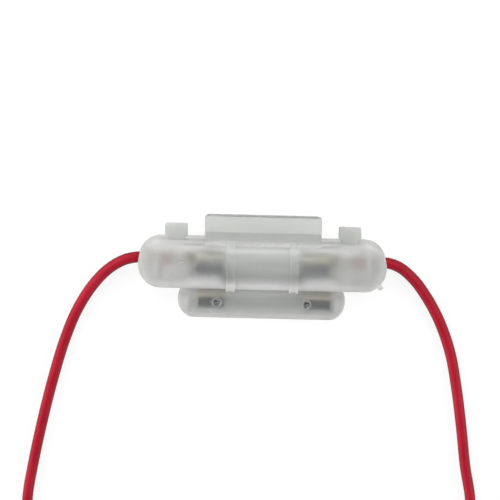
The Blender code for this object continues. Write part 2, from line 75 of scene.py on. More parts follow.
# ---- node helpers ----------------------------------------------------------
class Nodes:
    """A few short calls for building a Principled material."""

    def __init__(self, name):
        self.mat = bpy.data.materials.new(name)
        self.mat.use_nodes = True
        self.tree = self.mat.node_tree
        self.shader = self.tree.nodes["Principled BSDF"]
        coords = self.tree.nodes.new("ShaderNodeTexCoord")
        self.object = coords.outputs["Object"]

    def put(self, name, value):
        self.shader.inputs[name].default_value = value

    def link(self, a, b):
        self.tree.links.new(a, b)

    def mapped(self, scale=(1, 1, 1), turn=(0, 0, 0)):
        node = self.tree.nodes.new("ShaderNodeMapping")
        node.inputs["Scale"].default_value = scale
        node.inputs["Rotation"].default_value = turn
        self.link(self.object, node.inputs["Vector"])
        return node.outputs["Vector"]

    def noise(self, scale, detail=3.0, rough=0.5, vector=None, distort=0.0):
        """scale is in waves per millimetre."""
        node = self.tree.nodes.new("ShaderNodeTexNoise")
        node.inputs["Scale"].default_value = scale / MM
        node.inputs["Detail"].default_value = detail
        node.inputs["Roughness"].default_value = rough
        node.inputs["Distortion"].default_value = distort
        self.link(vector or self.object, node.inputs["Vector"])
        return node.outputs["Fac"]

    def span(self, value, lo, hi, a=0.3, b=0.7, smooth=False):
        node = self.tree.nodes.new("ShaderNodeMapRange")
        if smooth:
            node.interpolation_type = "SMOOTHSTEP"
        node.inputs["From Min"].default_value = a
        node.inputs["From Max"].default_value = b
        node.inputs["To Min"].default_value = lo
        node.inputs["To Max"].default_value = hi
        self.link(value, node.inputs["Value"])
        return node.outputs["Result"]

    def math(self, op, a, b=None):
        node = self.tree.nodes.new("ShaderNodeMath")
        node.operation = op
        for k, v in enumerate((a, b)):
            if v is None:
                continue
            if isinstance(v, (int, float)):
                node.inputs[k].default_value = v
            else:
                self.link(v, node.inputs[k])
        return node.outputs["Value"]

    def colours(self, value, stops):
        node = self.tree.nodes.new("ShaderNodeValToRGB")
        ramp = node.color_ramp
        while len(ramp.elements) < len(stops):
            ramp.elements.new(0.5)
        for element, (pos, rgb) in zip(ramp.elements, stops):
            element.position = pos
            element.color = (*rgb, 1.0)
        self.link(value, node.inputs["Fac"])
        return node.outputs["Color"]

    def mix(self, fac, a, b):
        node = self.tree.nodes.new("ShaderNodeMix")
        node.data_type = "RGBA"
        sockets = [s for s in node.inputs if s.enabled]
        for socket, v in zip(sockets, (fac, a, b)):
            if isinstance(v, (int, float)):
                socket.default_value = v
            elif isinstance(v, tuple):
                socket.default_value = (*v, 1.0)
            else:
                self.link(v, socket)
        return [s for s in node.outputs if s.enabled][0]

    def bump(self, height, distance, strength=1.0, normal=None):
        node = self.tree.nodes.new("ShaderNodeBump")
        node.inputs["Strength"].default_value = strength
        node.inputs["Distance"].default_value = distance * MM
        self.link(height, node.inputs["Height"])
        if normal is not None:
            self.link(normal, node.inputs["Normal"])
        return node.outputs["Normal"]

    def to(self, name, value):
        self.link(value, self.shader.inputs[name])


# ---- sizes (as in the CAD) -------------------------------------------------
CASE_LENGTH, CASE_WIDTH, CASE_DEPTH = 55.1, 10.8, 10.8
END_ROUND, EDGE_ROUND, WALL = 4.8, 3.5, 1.0
PART_LINE, PART_GAP, LINE_ROUND = 5.4, 0.1, 0.2
BAY_HALF, BAY_ROUND, BAY_CORNER = 24.0, 1.9, 3.2
WEB_HALF, WEB_EDGE, WEB_THICK, FOLD_Y = 12.9, 10.95, 0.8, 11.1
RAMP_FOOT, RAMP_TOP = (7.3, 6.25), (4.96, 9.0)
LUG_X, LUG_HEAD, LUG_NECK, LUG_EDGE, LUG_THICK = 19.2, 5.0, 3.6, 8.72, 0.95
BAND_X0, BAND_X1, BAND_RISE = 6.0, 7.95, 0.45
CLAW_THICK, CLAW_TIP_Z = 0.4, 4.0
BEAD_RISE, BEAD_WIDE = 0.16, 0.36
MARK_X, MARK_Y = -17.3, -1.6
NUB_TURN = math.radians(-50)
NUB_OUT, NUB_WIDE, NUB_TALL, NUB_Z = 1.3, 1.05, 1.2, 6.3
FUSE_LENGTH, CAP_RADIUS, CAP_LENGTH, CAP_WALL, CAP_END = 30.0, 3.15, 6.2, 0.23, 0.4
GLASS_RADIUS, GLASS_BORE = 2.85, 2.1
FUSE_Z = 6.3
SPARE_X, SPARE_Y, SPARE_Z = 0.57, -9.25, 3.3
TROUGH_RADIUS, TROUGH_BORE, TROUGH_HALF, TROUGH_END = 4.3, 3.25, 18.8, 3.6
TROUGH_BAY_HALF, TROUGH_MOUTH = 16.0, 5.0
PUSH_HOLE_X, PUSH_HOLE_R = 10.0, 0.85
STRIP = 0.4
CLIP_IN, CLIP_OUT, CLIP_TOP, CLIP_STRIP = 9.1, 14.6, 12.0, 0.3
BARREL_IN, BARREL_OUT, BARREL_RADIUS, BARREL_BORE = 17.0, 19.8, 1.4, 0.82
STOP_IN, STOP_OUT = 15.2, 15.6
LEAD_RADIUS, STRAND_RADIUS, LEAD_Z, LEAD_START, HOLE_RADIUS = 1.25, 0.75, 3.0, 20.4, 1.45
FLOOR_Z, TIE_Z = 1.28, 1.9
TIP_RADIUS, TIP_LENGTH, TIE_X = 0.66, 5.0, -4.0
TAIL_Y_LEFT, TAIL_Y_RIGHT = -72.3, -69.5

ROUTE_LEFT = [
    (-LEAD_START, 0, LEAD_Z), (-24.2, 0, LEAD_Z), (-28.0, 0, LEAD_Z),
    (-30.9, -0.8, 2.75), (-34.5, -3.3, 2.1), (-38.1, -7.5, 1.5),
    (-41.6, -13.5, FLOOR_Z), (-44.5, -21.0, FLOOR_Z), (-47.2, -30.5, FLOOR_Z),
    (-49.6, -40.5, FLOOR_Z), (-51.7, -50.6, FLOOR_Z), (-53.3, -60.3, FLOOR_Z),
    (-53.2, -65.6, FLOOR_Z), (-50.3, -70.25, FLOOR_Z), (-45.0, -72.2, FLOOR_Z),
    (-36.0, TAIL_Y_LEFT, FLOOR_Z), (-24.0, TAIL_Y_LEFT, FLOOR_Z + 0.05),
    (-14.0, TAIL_Y_LEFT, FLOOR_Z + 0.3), (TIE_X, TAIL_Y_LEFT, TIE_Z),
    (6.0, TAIL_Y_LEFT, FLOOR_Z + 0.3), (12.5, TAIL_Y_LEFT, FLOOR_Z + 0.05),
    (19.0, TAIL_Y_LEFT - 0.1, FLOOR_Z)]
ROUTE_RIGHT = [
    (LEAD_START, 0, LEAD_Z), (24.2, 0, LEAD_Z), (28.0, 0, LEAD_Z),
    (30.8, -1.1, 2.7), (34.1, -4.1, 2.0), (37.1, -8.2, 1.45),
    (40.3, -13.9, FLOOR_Z), (43.2, -21.5, FLOOR_Z), (45.2, -30.5, FLOOR_Z),
    (46.8, -40.0, FLOOR_Z), (48.2, -49.5, FLOOR_Z), (49.9, -58.2, FLOOR_Z),
    (49.9, -63.3, FLOOR_Z), (47.0, -67.7, FLOOR_Z), (41.8, -69.4, FLOOR_Z),
    (32.0, TAIL_Y_RIGHT, FLOOR_Z), (18.0, TAIL_Y_RIGHT, FLOOR_Z + 0.05),
    (6.0, TAIL_Y_RIGHT, FLOOR_Z + 0.3), (TIE_X, TAIL_Y_RIGHT, TIE_Z),
    (-14.0, TAIL_Y_RIGHT, FLOOR_Z + 0.3), (-20.5, TAIL_Y_RIGHT, FLOOR_Z + 0.05),
    (-27.0, TAIL_Y_RIGHT + 0.1, FLOOR_Z)]


# ---- materials -------------------------------------------------------------
CLOUD_LOW = (0.885, 0.900, 0.880)
CLOUD_MID = (0.910, 0.920, 0.900)
CLOUD_HIGH = (0.930, 0.935, 0.920)


def milky_plastic(name, rough_lo, rough_hi, through, scatter, thick=None,
                  thin=None):
    """Natural polyethylene: cloudy, slightly uneven, softly frosted. thick and
    thin are the shares of light let through by the heavier side walls and by
    the trough's own thin back, which is smoother too."""
    n = Nodes(name)
    n.put("IOR", 1.5)
    split = n.tree.nodes.new("ShaderNodeSeparateXYZ")
    n.link(n.object, split.inputs["Vector"])
    if thick is None:
        n.put("Transmission Weight", through)
        smooth = n.span(n.math("ABSOLUTE", split.outputs["X"]), 0.0, -END_MATT,
                        20.5 * MM, 23.0 * MM, True)
    else:
        y = split.outputs["Y"]
        near = n.math("MULTIPLY", n.span(y, 1.0, 0.0, -4.2 * MM, -1.2 * MM, True),
                      n.span(y, 0.0, 1.0, -7.4 * MM, -6.4 * MM, True))
        far = n.math("MULTIPLY", n.span(y, 0.0, FAR_WALL, 2.2 * MM, 4.8 * MM, True),
                     n.span(y, 1.0, 0.0, 5.6 * MM, 6.6 * MM, True))
        back = n.span(y, 1.0, 0.0, -7.4 * MM, -6.6 * MM, True)
        rim = n.math("MAXIMUM", n.span(y, 1.0, 0.0, -12.4 * MM, -10.4 * MM, True),
                     n.span(n.math("ABSOLUTE", split.outputs["X"]), 0.0, 0.45,
                            15.6 * MM, 17.4 * MM, True))
        rim = n.math("MULTIPLY", rim, back)
        along = n.math("ABSOLUTE", split.outputs["X"])
        tip = n.math("MULTIPLY", n.span(along, 0.0, END_WALL, 14.8 * MM, 19.5 * MM, True),
                     n.math("SUBTRACT", 1.0, n.math("MINIMUM", n.math("ADD", near, far),
                                                    1.0)))
        by_clip = n.math("MULTIPLY", n.span(along, 0.0, CLIP_WALL, 8.2 * MM, 10.2 * MM, True),
                         n.span(along, 1.0, 0.0, 14.4 * MM, 18.2 * MM, True))
        by_clip = n.math("MULTIPLY", by_clip,
                         n.math("MULTIPLY",
                                n.span(y, 1.0, 0.0, -2.1 * MM, -1.0 * MM, True),
                                n.span(y, 0.0, 1.0, -4.6 * MM, -2.4 * MM, True)))
        dx = n.math("SUBTRACT", along, PUSH_HOLE_X * MM)
        dy = n.math("SUBTRACT", y, (SPARE_Y + 0.5) * MM)
        ring = n.math("SQRT", n.math("ADD", n.math("MULTIPLY", dx, dx),
                                     n.math("MULTIPLY", dy, dy)))
        ring = n.math("MULTIPLY", n.span(ring, 0.0, RING_WALL, 0.72 * MM, 0.86 * MM),
                      n.span(ring, 1.0, 0.0, 1.06 * MM, 1.20 * MM))
        wall = n.math("ADD", n.math("ADD", n.math("ADD", near, far), rim), tip)
        wall = n.math("ADD", n.math("ADD", wall, by_clip), ring)
        middle = n.math("MULTIPLY", n.span(y, 0.0, 1.0, -9.0 * MM, -7.8 * MM, True),
                        n.span(y, 1.0, 0.0, 0.0, 2.0 * MM, True))
        wall = n.math("ADD", wall,
                      n.math("MULTIPLY", middle,
                             n.span(along, MIDDLE_WALL, 0.0, 4.9 * MM, 7.4 * MM, True)))
        # painted shade: the base colour is darkened towards black along the trough's lower
        # edge and ends, at the case's ends, by its lower edge over the trough, on the lugs, on
        # the +Y shoulder and towards the right end
        painted_shade = n.math("MULTIPLY", back,
                     n.math("MAXIMUM", n.span(y, 1.0, 0.0, -12.8 * MM, -9.8 * MM, True),
                            n.span(along, 0.0, 1.0, 15.4 * MM, 17.6 * MM, True)))
        painted_shade = n.math("ADD", n.math("MULTIPLY", painted_shade, PAINTED_SHADE_TROUGH),
                     n.math("MULTIPLY", n.math("SUBTRACT", n.span(y, 1.0, 0.0, 4.6 * MM,
                                                                  5.6 * MM, True), back),
                            n.span(along, 0.0, PAINTED_SHADE_ENDS, 15.5 * MM, 21.0 * MM, True)))
        edge = n.math("MULTIPLY", n.span(y, 1.0, 0.0, -4.8 * MM, -3.0 * MM, True),
                      n.span(y, 0.0, 1.0, -7.4 * MM, -6.4 * MM, True))
        edge = n.math("MULTIPLY", edge,
                      n.math("MULTIPLY", n.span(along, 0.0, PAINTED_SHADE_EDGE, 7.5 * MM, 9.5 * MM),
                             n.span(along, 1.0, 0.0, 16.0 * MM, 22.0 * MM)))
        lugs = n.math("MULTIPLY", n.span(y, 0.0, PAINTED_SHADE_LUGS, 5.8 * MM, 6.8 * MM),
                      n.span(along, 0.0, 1.0, 14.5 * MM, 15.5 * MM))
        painted_shade = n.math("ADD", painted_shade, n.math("ADD", edge, lugs))
        slope = n.math("MULTIPLY", n.span(y, 0.0, PAINTED_SHADE_SLOPE, 1.8 * MM, 3.4 * MM, True),
                       n.span(y, 1.0, 0.0, 3.8 * MM, 4.6 * MM, True))
        slope = n.math("MULTIPLY", slope, n.span(along, 1.0, 0.6, 13.0 * MM, 16.0 * MM))
        right = n.span(split.outputs["X"], 0.0, PAINTED_SHADE_RIGHT, 11.0 * MM, 17.0 * MM)
        painted_shade = n.math("ADD", painted_shade, n.math("ADD", slope, right))
        clear = n.math("SUBTRACT", back, rim)
        n.to("Transmission Weight",
             n.math("ADD", n.math("SUBTRACT", through,
                                  n.math("MULTIPLY", wall, through - thick)),
                    n.math("MULTIPLY", clear, thin - through)))
        smooth = n.math("MULTIPLY", back, THIN_SMOOTH)
    n.put("Subsurface Weight", 1.0)
    n.put("Subsurface Radius", (1.0, 1.0, 0.95))
    n.put("Subsurface Scale", scatter)
    cloud = n.noise(0.22, 3.0, 0.55, distort=0.6)
    fine = n.noise(1.6, 2.0, 0.5)
    milk = n.colours(n.math("ADD", n.math("MULTIPLY", cloud, 0.8),
                            n.math("MULTIPLY", fine, 0.2)),
                     [(0.30, CLOUD_LOW), (0.50, CLOUD_MID), (0.70, CLOUD_HIGH)])
    if thick is not None:
        # the painted shade is mixed into the base colour here
        milk = n.mix(painted_shade, milk, (0.0, 0.0, 0.0))
    n.to("Base Color", milk)
    n.to("Roughness", n.math("SUBTRACT", n.span(n.noise(0.5, 4.0, 0.6),
                                                rough_lo, rough_hi), smooth))
    grain = n.noise(9.0, 2.0, 0.5)
    wave = n.noise(0.35, 2.0, 0.5)
    n.to("Normal", n.bump(wave, 0.03, 0.4,
                          n.bump(grain, 0.003, 0.4)))
    return n.mat


TIN_ROUGH = (0.42, 0.58)


def plated_brass():
    n = Nodes("plated_brass")
    n.put("Metallic", 1.0)
    blot = n.noise(0.55, 4.0, 0.6, distort=0.4)
    tin = n.colours(blot, [(0.30, (0.66, 0.62, 0.52)),
                           (0.45, (0.73, 0.71, 0.66)),
                           (0.70, (0.78, 0.77, 0.75))])
    split = n.tree.nodes.new("ShaderNodeSeparateXYZ")
    n.link(n.object, split.inputs["Vector"])
    off = n.math("ABSOLUTE", n.math("SUBTRACT", n.math("ABSOLUTE", split.outputs["X"]),
                                    (STOP_IN + STOP_OUT) / 2 * MM))
    bare = n.span(n.math("ADD", off, n.math("MULTIPLY", n.noise(2.0, 2.0), 0.0003)),
                  1.0, 0.0, 0.00035, 0.0006)
    n.to("Base Color", n.mix(bare, tin, (0.72, 0.60, 0.30)))
    draw = n.noise(1.0, 3.0, 0.6, n.mapped((0.15, 8.0, 8.0)))
    n.to("Roughness", n.span(draw, *TIN_ROUGH))
    n.to("Normal", n.bump(draw, 0.006, 0.5))
    return n.mat


CLEAN = ((0.46, 0.46, 0.45), (0.53, 0.54, 0.56), (0.60, 0.61, 0.64))
# colours for the caps' +Y side: partly tarnish, partly a painted reflection; the spare's is a
# much lighter painted highlight
OLIVE_PAINTED_REFLECTION = ((0.46, 0.43, 0.32), (0.51, 0.49, 0.42), (0.56, 0.55, 0.50))
GOLD_PAINTED_REFLECTION = ((0.82, 0.69, 0.42), (0.93, 0.85, 0.64), (0.96, 0.92, 0.80))


def nickel_cap(name, base_tone, painted_reflection, axis_y):
    """Nickel over brass, turned. Its +Y side is partly tarnish and partly a painted reflection
    of the light it mirrors there, painted much lighter on the spare.
    """
    n = Nodes(name)
    n.put("Metallic", 1.0)
    blot = n.noise(0.4, 4.0, 0.6, distort=0.5)
    at = (0.30, 0.45, 0.70)
    split = n.tree.nodes.new("ShaderNodeSeparateXYZ")
    n.link(n.object, split.inputs["Vector"])
    edge = n.math("ADD", split.outputs["Y"],
                  n.math("MULTIPLY", n.math("SUBTRACT", blot, 0.5), 2.5 * MM))
    # painted reflection: the +Y side takes the warmer, lighter colour
    side = n.span(edge, 0.0, 1.0, (axis_y + 0.7) * MM, (axis_y + 1.7) * MM, True)
    n.to("Base Color", n.mix(side, n.colours(blot, list(zip(at, base_tone))),
                             n.colours(blot, list(zip(at, painted_reflection)))))
    turned = n.noise(1.0, 2.0, 0.5, n.mapped((10.0, 0.2, 0.2)))
    scuff = n.noise(2.2, 4.0, 0.7)
    n.to("Roughness", n.span(n.math("ADD", n.math("MULTIPLY", turned, 0.5),
                                    n.math("MULTIPLY", scuff, 0.5)),
                             0.10, 0.26))
    n.to("Normal", n.bump(turned, 0.003, 0.4))
    return n.mat


def glass():
    n = Nodes("fuse_glass")
    n.put("IOR", 1.51)
    n.put("Transmission Weight", 1.0)
    n.to("Base Color", n.colours(n.noise(0.2, 2.0, 0.5),
                                 [(0.3, (0.972, 0.984, 0.978)),
                                  (0.7, (0.984, 0.992, 0.988))]))
    n.to("Roughness", n.span(n.noise(0.6, 3.0, 0.6), 0.0, 0.045))
    n.to("Normal", n.bump(n.noise(0.5, 1.0, 0.5, n.mapped((0.2, 1, 1))),
                          0.01, 0.3))
    return n.mat


def fuse_wire():
    n = Nodes("fuse_wire")
    n.put("Metallic", 1.0)
    n.to("Base Color", n.colours(n.noise(2.0, 2.0), [(0.3, (0.60, 0.60, 0.62)),
                                                     (0.7, (0.76, 0.76, 0.77))]))
    n.to("Roughness", n.span(n.noise(5.0, 2.0), 0.22, 0.4))
    return n.mat


def tinned_copper():
    n = Nodes("tinned_copper")
    n.put("Metallic", 1.0)
    patch = n.noise(0.9, 4.0, 0.65)
    n.to("Base Color", n.colours(patch, [(0.34, (0.66, 0.45, 0.31)),
                                         (0.46, (0.70, 0.62, 0.54)),
                                         (0.66, (0.76, 0.74, 0.71))]))
    n.to("Roughness", n.span(n.noise(3.0, 3.0), 0.2, 0.42))
    n.to("Normal", n.bump(n.noise(4.0, 2.0), 0.01, 0.5))
    return n.mat


def red_pvc():
    """Extruded insulation: satin, faint draw lines, with painted shade on the flanks and
    underside.
    """
    n = Nodes("red_pvc")
    n.put("IOR", 1.53)
    n.put("Specular IOR Level", 0.10)
    n.put("Subsurface Weight", 0.0)
    tone = n.noise(0.12, 3.0, 0.55)
    base_tone = n.colours(tone, [(0.30, (0.345, 0.006, 0.019)),
                             (0.50, (0.380, 0.009, 0.025)),
                             (0.72, (0.420, 0.013, 0.033))])
    # painted shade: the flanks and underside are darker, lightest where the surface faces
    # (-0.30, 0.12, 0.94), up and a little to the left
    geometry = n.tree.nodes.new("ShaderNodeNewGeometry")
    facing = n.tree.nodes.new("ShaderNodeVectorMath")
    facing.operation = "DOT_PRODUCT"
    facing.inputs[1].default_value = (-0.30, 0.12, 0.94)
    n.link(geometry.outputs["Normal"], facing.inputs[0])
    cord_painted_shade = n.span(n.math("ADD", facing.outputs["Value"],
                          n.math("MULTIPLY", n.math("SUBTRACT", tone, 0.5), 0.3)),
                   0.96, 0.0, 0.40, 1.0, True)
    n.to("Base Color", n.mix(cord_painted_shade, base_tone, (0.190, 0.004, 0.012)))
    soft = n.noise(0.8, 4.0, 0.6)
    n.to("Roughness", n.span(soft, 0.30, 0.48))
    n.to("Normal", n.bump(n.noise(0.5, 2.0, 0.5), 0.05, 0.35,
                          n.bump(n.noise(6.0, 2.0), 0.006, 0.5)))
    return n.mat


def tie_nylon():
    n = Nodes("tie_nylon")
    n.put("IOR", 1.53)
    n.put("Transmission Weight", 0.25)
    n.to("Base Color", n.colours(n.noise(0.4, 3.0), [(0.3, (0.80, 0.79, 0.74)),
                                                     (0.7, (0.86, 0.86, 0.82))]))
    n.to("Roughness", n.span(n.noise(1.2, 3.0), 0.32, 0.5))
    n.to("Normal", n.bump(n.noise(7.0, 2.0), 0.005, 0.5))
    return n.mat


# roughness from and to, share of light let through, depth of scatter in metres
FROSTED = (0.48, 0.58, 0.88, 0.003)     # outside, from the textured mould
POLISHED = (0.06, 0.14, 1.0, 0.003)     # inside, from the polished core
THICK, THIN = 0.50, 0.88
THIN_SMOOTH, END_MATT = 0.15, 0.46
FAR_WALL, END_WALL, CLIP_WALL, RING_WALL, MIDDLE_WALL = 0.3, 0.55, 0.75, 0.45, 0.25
# how far the painted shade darkens the base colour: trough, case ends, lower edge, lugs, +Y
# shoulder, right end
PAINTED_SHADE_TROUGH, PAINTED_SHADE_ENDS, PAINTED_SHADE_EDGE, PAINTED_SHADE_LUGS = 0.31, 0.17, 0.12, 0.06
PAINTED_SHADE_SLOPE, PAINTED_SHADE_RIGHT = 0.12, 0.08
MILKY = milky_plastic("milky_polyethylene", *FROSTED, THICK, THIN)
MILKY_INSIDE = milky_plastic("milky_polyethylene_inside", *POLISHED)
PLATED = plated_brass()
NICKEL = nickel_cap("nickel_cap", CLEAN, OLIVE_PAINTED_REFLECTION, 0.0)
NICKEL_SPARE = nickel_cap("nickel_cap_spare", CLEAN, GOLD_PAINTED_REFLECTION, SPARE_Y)
GLASS = glass()
WIRE_ALLOY = fuse_wire()
COPPER = tinned_copper()
RED_PVC = red_pvc()
TIE_WHITE = tie_nylon()


# ---- mesh helpers ----------------------------------------------------------
def add(name, data, mat, body, slot, *nodes):
    """A finished piece: its object, material, body and CAD nodes. slot is not used."""
    obj = bpy.data.objects.new(name, data)
    SCENE.collection.objects.link(obj)
    data.materials.append(mat)
    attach(obj, body)
    if nodes:
        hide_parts(*nodes)
    return obj


def done(bm, name, angle=32.0):
    bmesh.ops.recalc_face_normals(bm, faces=bm.faces)
    bmesh.ops.scale(bm, vec=Vector((MM, MM, MM)), verts=bm.verts)
    mesh = bpy.data.meshes.new(name)
    bm.to_mesh(mesh)
    bm.free()
    shade(mesh, angle)
    return mesh


def shade(mesh, angle=32.0):
    mesh.shade_smooth()
    mesh.set_sharp_from_angle(angle=math.radians(angle))


def soften(bm, radius, steps=2, angle=40.0, keep=None):
    """Rounds every edge of a solid that turns by more than the angle."""
    limit = math.radians(angle)
    edges = [e for e in bm.edges
             if len(e.link_faces) == 2 and e.calc_face_angle(0.0) > limit
             and (keep is None or keep(e))]
    if edges:
        bmesh.ops.bevel(bm, geom=edges, offset=radius, offset_type="OFFSET",
                        segments=steps, profile=0.5, affect="EDGES",
                        clamp_overlap=False)


def plan_stadium(half_x, half_y, end, steps):
    pts = []
    for k in range(steps + 1):
        a = -math.pi / 2 + math.pi * k / steps
        pts.append((half_x - end + end * math.cos(a), half_y * math.sin(a)))
    return pts + [(-x, -y) for x, y in pts]


def plan_box(half_x, half_y, radius, steps):
    pts = []
    for cx, cy, a0 in ((1, -1, -90), (1, 1, 0), (-1, 1, 90), (-1, -1, 180)):
        for k in range(steps + 1):
            a = math.radians(a0 + 90.0 * k / steps)
            pts.append((cx * (half_x - radius) + radius * math.cos(a),
                        cy * (half_y - radius) + radius * math.sin(a)))
    return pts


def arc(cy, cz, radius, a0, a1, steps):
    return [(cy + radius * math.cos(math.radians(a0 + (a1 - a0) * k / steps)),
             cz + radius * math.sin(math.radians(a0 + (a1 - a0) * k / steps)))
            for k in range(steps + 1)]


def prism(name, outline, z0, z1, round_bottom=0.0, round_top=0.0,
          steps=(10, 10)):
    bm = bmesh.new()
    face = bm.faces.new([bm.verts.new((x, y, z0)) for x, y in outline])
    out = bmesh.ops.extrude_face_region(bm, geom=[face])
    top = [g for g in out["geom"] if isinstance(g, bmesh.types.BMVert)]
    bmesh.ops.translate(bm, verts=top, vec=(0, 0, z1 - z0))
    for level, radius, count in ((z0, round_bottom, steps[0]),
                                 (z1, round_top, steps[1])):
        if radius > 0:
            rim = [e for e in bm.edges
                   if all(abs(v.co.z - level) < 1e-6 for v in e.verts)]
            bmesh.ops.bevel(bm, geom=rim, offset=radius, offset_type="OFFSET",
                            segments=count, profile=0.5, affect="EDGES",
                            clamp_overlap=False)
    return done(bm, name)


def bar(name, section, x0, x1, corner_y=None, corner_radius=0.0, edge=0.0,
        steps=2):
    bm = bmesh.new()
    face = bm.faces.new([bm.verts.new((x0, y, z)) for y, z in section])
    out = bmesh.ops.extrude_face_region(bm, geom=[face])
    far = [g for g in out["geom"] if isinstance(g, bmesh.types.BMVert)]
    bmesh.ops.translate(bm, verts=far, vec=(x1 - x0, 0, 0))
    if corner_y is not None:
        corner = [e for e in bm.edges
                  if all(abs(v.co.y - corner_y) < 1e-6 for v in e.verts)
                  and abs(e.verts[0].co.x - e.verts[1].co.x) < 1e-6]
        bmesh.ops.bevel(bm, geom=corner, offset=corner_radius,
                        offset_type="OFFSET", segments=8, profile=0.5,
                        affect="EDGES", clamp_overlap=False)
    if edge > 0:
        soften(bm, edge, steps)
    return done(bm, name)


def block(name, lo, hi, edge=0.0):
    bm = bmesh.new()
    bmesh.ops.create_cube(bm, size=1.0)
    bmesh.ops.scale(bm, vec=[b - a for a, b in zip(lo, hi)], verts=bm.verts)
    bmesh.ops.translate(bm, vec=[(a + b) / 2 for a, b in zip(lo, hi)],
                        verts=bm.verts)
    if edge > 0:
        soften(bm, edge, 2)
    return done(bm, name)


def rod(name, radius, x0, x1, y, z, sides=64, end_round=0.0):
    bm = bmesh.new()
    bmesh.ops.create_cone(bm, cap_ends=True, segments=sides, radius1=radius,
                          radius2=radius, depth=abs(x1 - x0),
                          matrix=Matrix.Rotation(math.pi / 2, 4, "Y"))
    if end_round > 0:
        rim = [e for e in bm.edges
               if abs(e.verts[0].co.x - e.verts[1].co.x) < 1e-6]
        bmesh.ops.bevel(bm, geom=rim, offset=end_round, offset_type="OFFSET",
                        segments=4, profile=0.5, affect="EDGES",
                        clamp_overlap=False)
    bmesh.ops.translate(bm, vec=((x0 + x1) / 2, y, z), verts=bm.verts)
    return done(bm, name)


def pin(name, radius, x, y, z0, z1, sides=40, top_radius=None):
    bm = bmesh.new()
    bmesh.ops.create_cone(bm, cap_ends=True, segments=sides, radius1=radius,
                          radius2=top_radius or radius, depth=z1 - z0)
    bmesh.ops.translate(bm, vec=(x, y, (z0 + z1) / 2), verts=bm.verts)
    return done(bm, name)


def capsule(name, radius, half, end, y, z, rings=36, sides=72):
    bm = bmesh.new()
    bmesh.ops.create_uvsphere(bm, u_segments=sides, v_segments=rings,
                              radius=1.0,
                              matrix=Matrix.Rotation(math.pi / 2, 4, "Y"))
    for v in bm.verts:
        side = 1.0 if v.co.x > 1e-6 else -1.0 if v.co.x < -1e-6 else 0.0
        v.co = Vector((v.co.x * end + side * (half - end),
                       v.co.y * radius + y, v.co.z * radius + z))
    return done(bm, name)


def lathe(name, profile, y, z, sides=72, closed=True):
    """A closed (x, r) outline turned about the X axis through (y, z).
    Points at r = 0 are single poles."""
    bm = bmesh.new()
    rings = []
    for x, r in profile:
        if r < 1e-6:
            rings.append([bm.verts.new((x, y, z))])
        else:
            rings.append([bm.verts.new((x, y + r * math.cos(t), z + r * math.sin(t)))
                          for t in (2 * math.pi * k / sides for k in range(sides))])
    pairs = list(zip(rings, rings[1:]))
    if closed:
        pairs.append((rings[-1], rings[0]))
    for a, b in pairs:
        if len(a) == 1 and len(b) == 1:
            continue
        for k in range(sides):
            j = (k + 1) % sides
            if len(a) == 1:
                bm.faces.new((a[0], b[k], b[j]))
            elif len(b) == 1:
                bm.faces.new((a[k], a[j], b[0]))
            else:
                bm.faces.new((a[k], a[j], b[j], b[k]))
    return done(bm, name)


TOOLS = []


def boolean(obj, mesh, operation):
    other = bpy.data.objects.new(mesh.name, mesh)
    SCENE.collection.objects.link(other)
    other.hide_render = True
    TOOLS.append(other)
    mod = obj.modifiers.new(operation.lower(), "BOOLEAN")
    mod.operation = operation
    mod.solver = "EXACT"
    mod.object = other


def settle(obj, angle=32.0):
    """Applies the booleans and gives the result weighted smooth normals."""
    bpy.context.view_layer.update()
    graph = bpy.context.evaluated_depsgraph_get()
    mesh = bpy.data.meshes.new_from_object(obj.evaluated_get(graph))
    mesh.name = obj.name
    obj.modifiers.clear()
    obj.data = mesh
    for tool in TOOLS:
        bpy.data.objects.remove(tool, do_unlink=True)
    TOOLS.clear()
    shade(mesh, angle)
    mod = obj.modifiers.new("normals", "WEIGHTED_NORMAL")
    mod.keep_sharp = True
    mod.weight = 80
    return obj


def line_inside(obj):
    """Gives the faces of the fuse bay and the trough's bore the smooth finish
    of the mould's core."""
    obj.data.materials.append(MILKY_INSIDE)
    slot = len(obj.data.materials) - 1
    wall_y, e = CASE_WIDTH / 2 - WALL, 0.03
    for face in obj.data.polygons:
        x, y, z = face.center / MM
        bay = (abs(x) < BAY_HALF + e and abs(y) < wall_y + e
               and WALL - e < z < CASE_DEPTH - WALL + e)
        bore = (abs(x) < TROUGH_BAY_HALF + e
                and math.hypot(y - SPARE_Y, z - SPARE_Z) < TROUGH_BORE + e)
        if bay or bore:
            face.material_index = slot


def join_all(name, meshes, angle=32.0):
    """Several closed solids as one mesh."""
    bm = bmesh.new()
    for mesh in meshes:
        bm.from_mesh(mesh)
        bpy.data.meshes.remove(mesh)
    mesh = bpy.data.meshes.new(name)
    bm.to_mesh(mesh)
    bm.free()
    shade(mesh, angle)
    return mesh


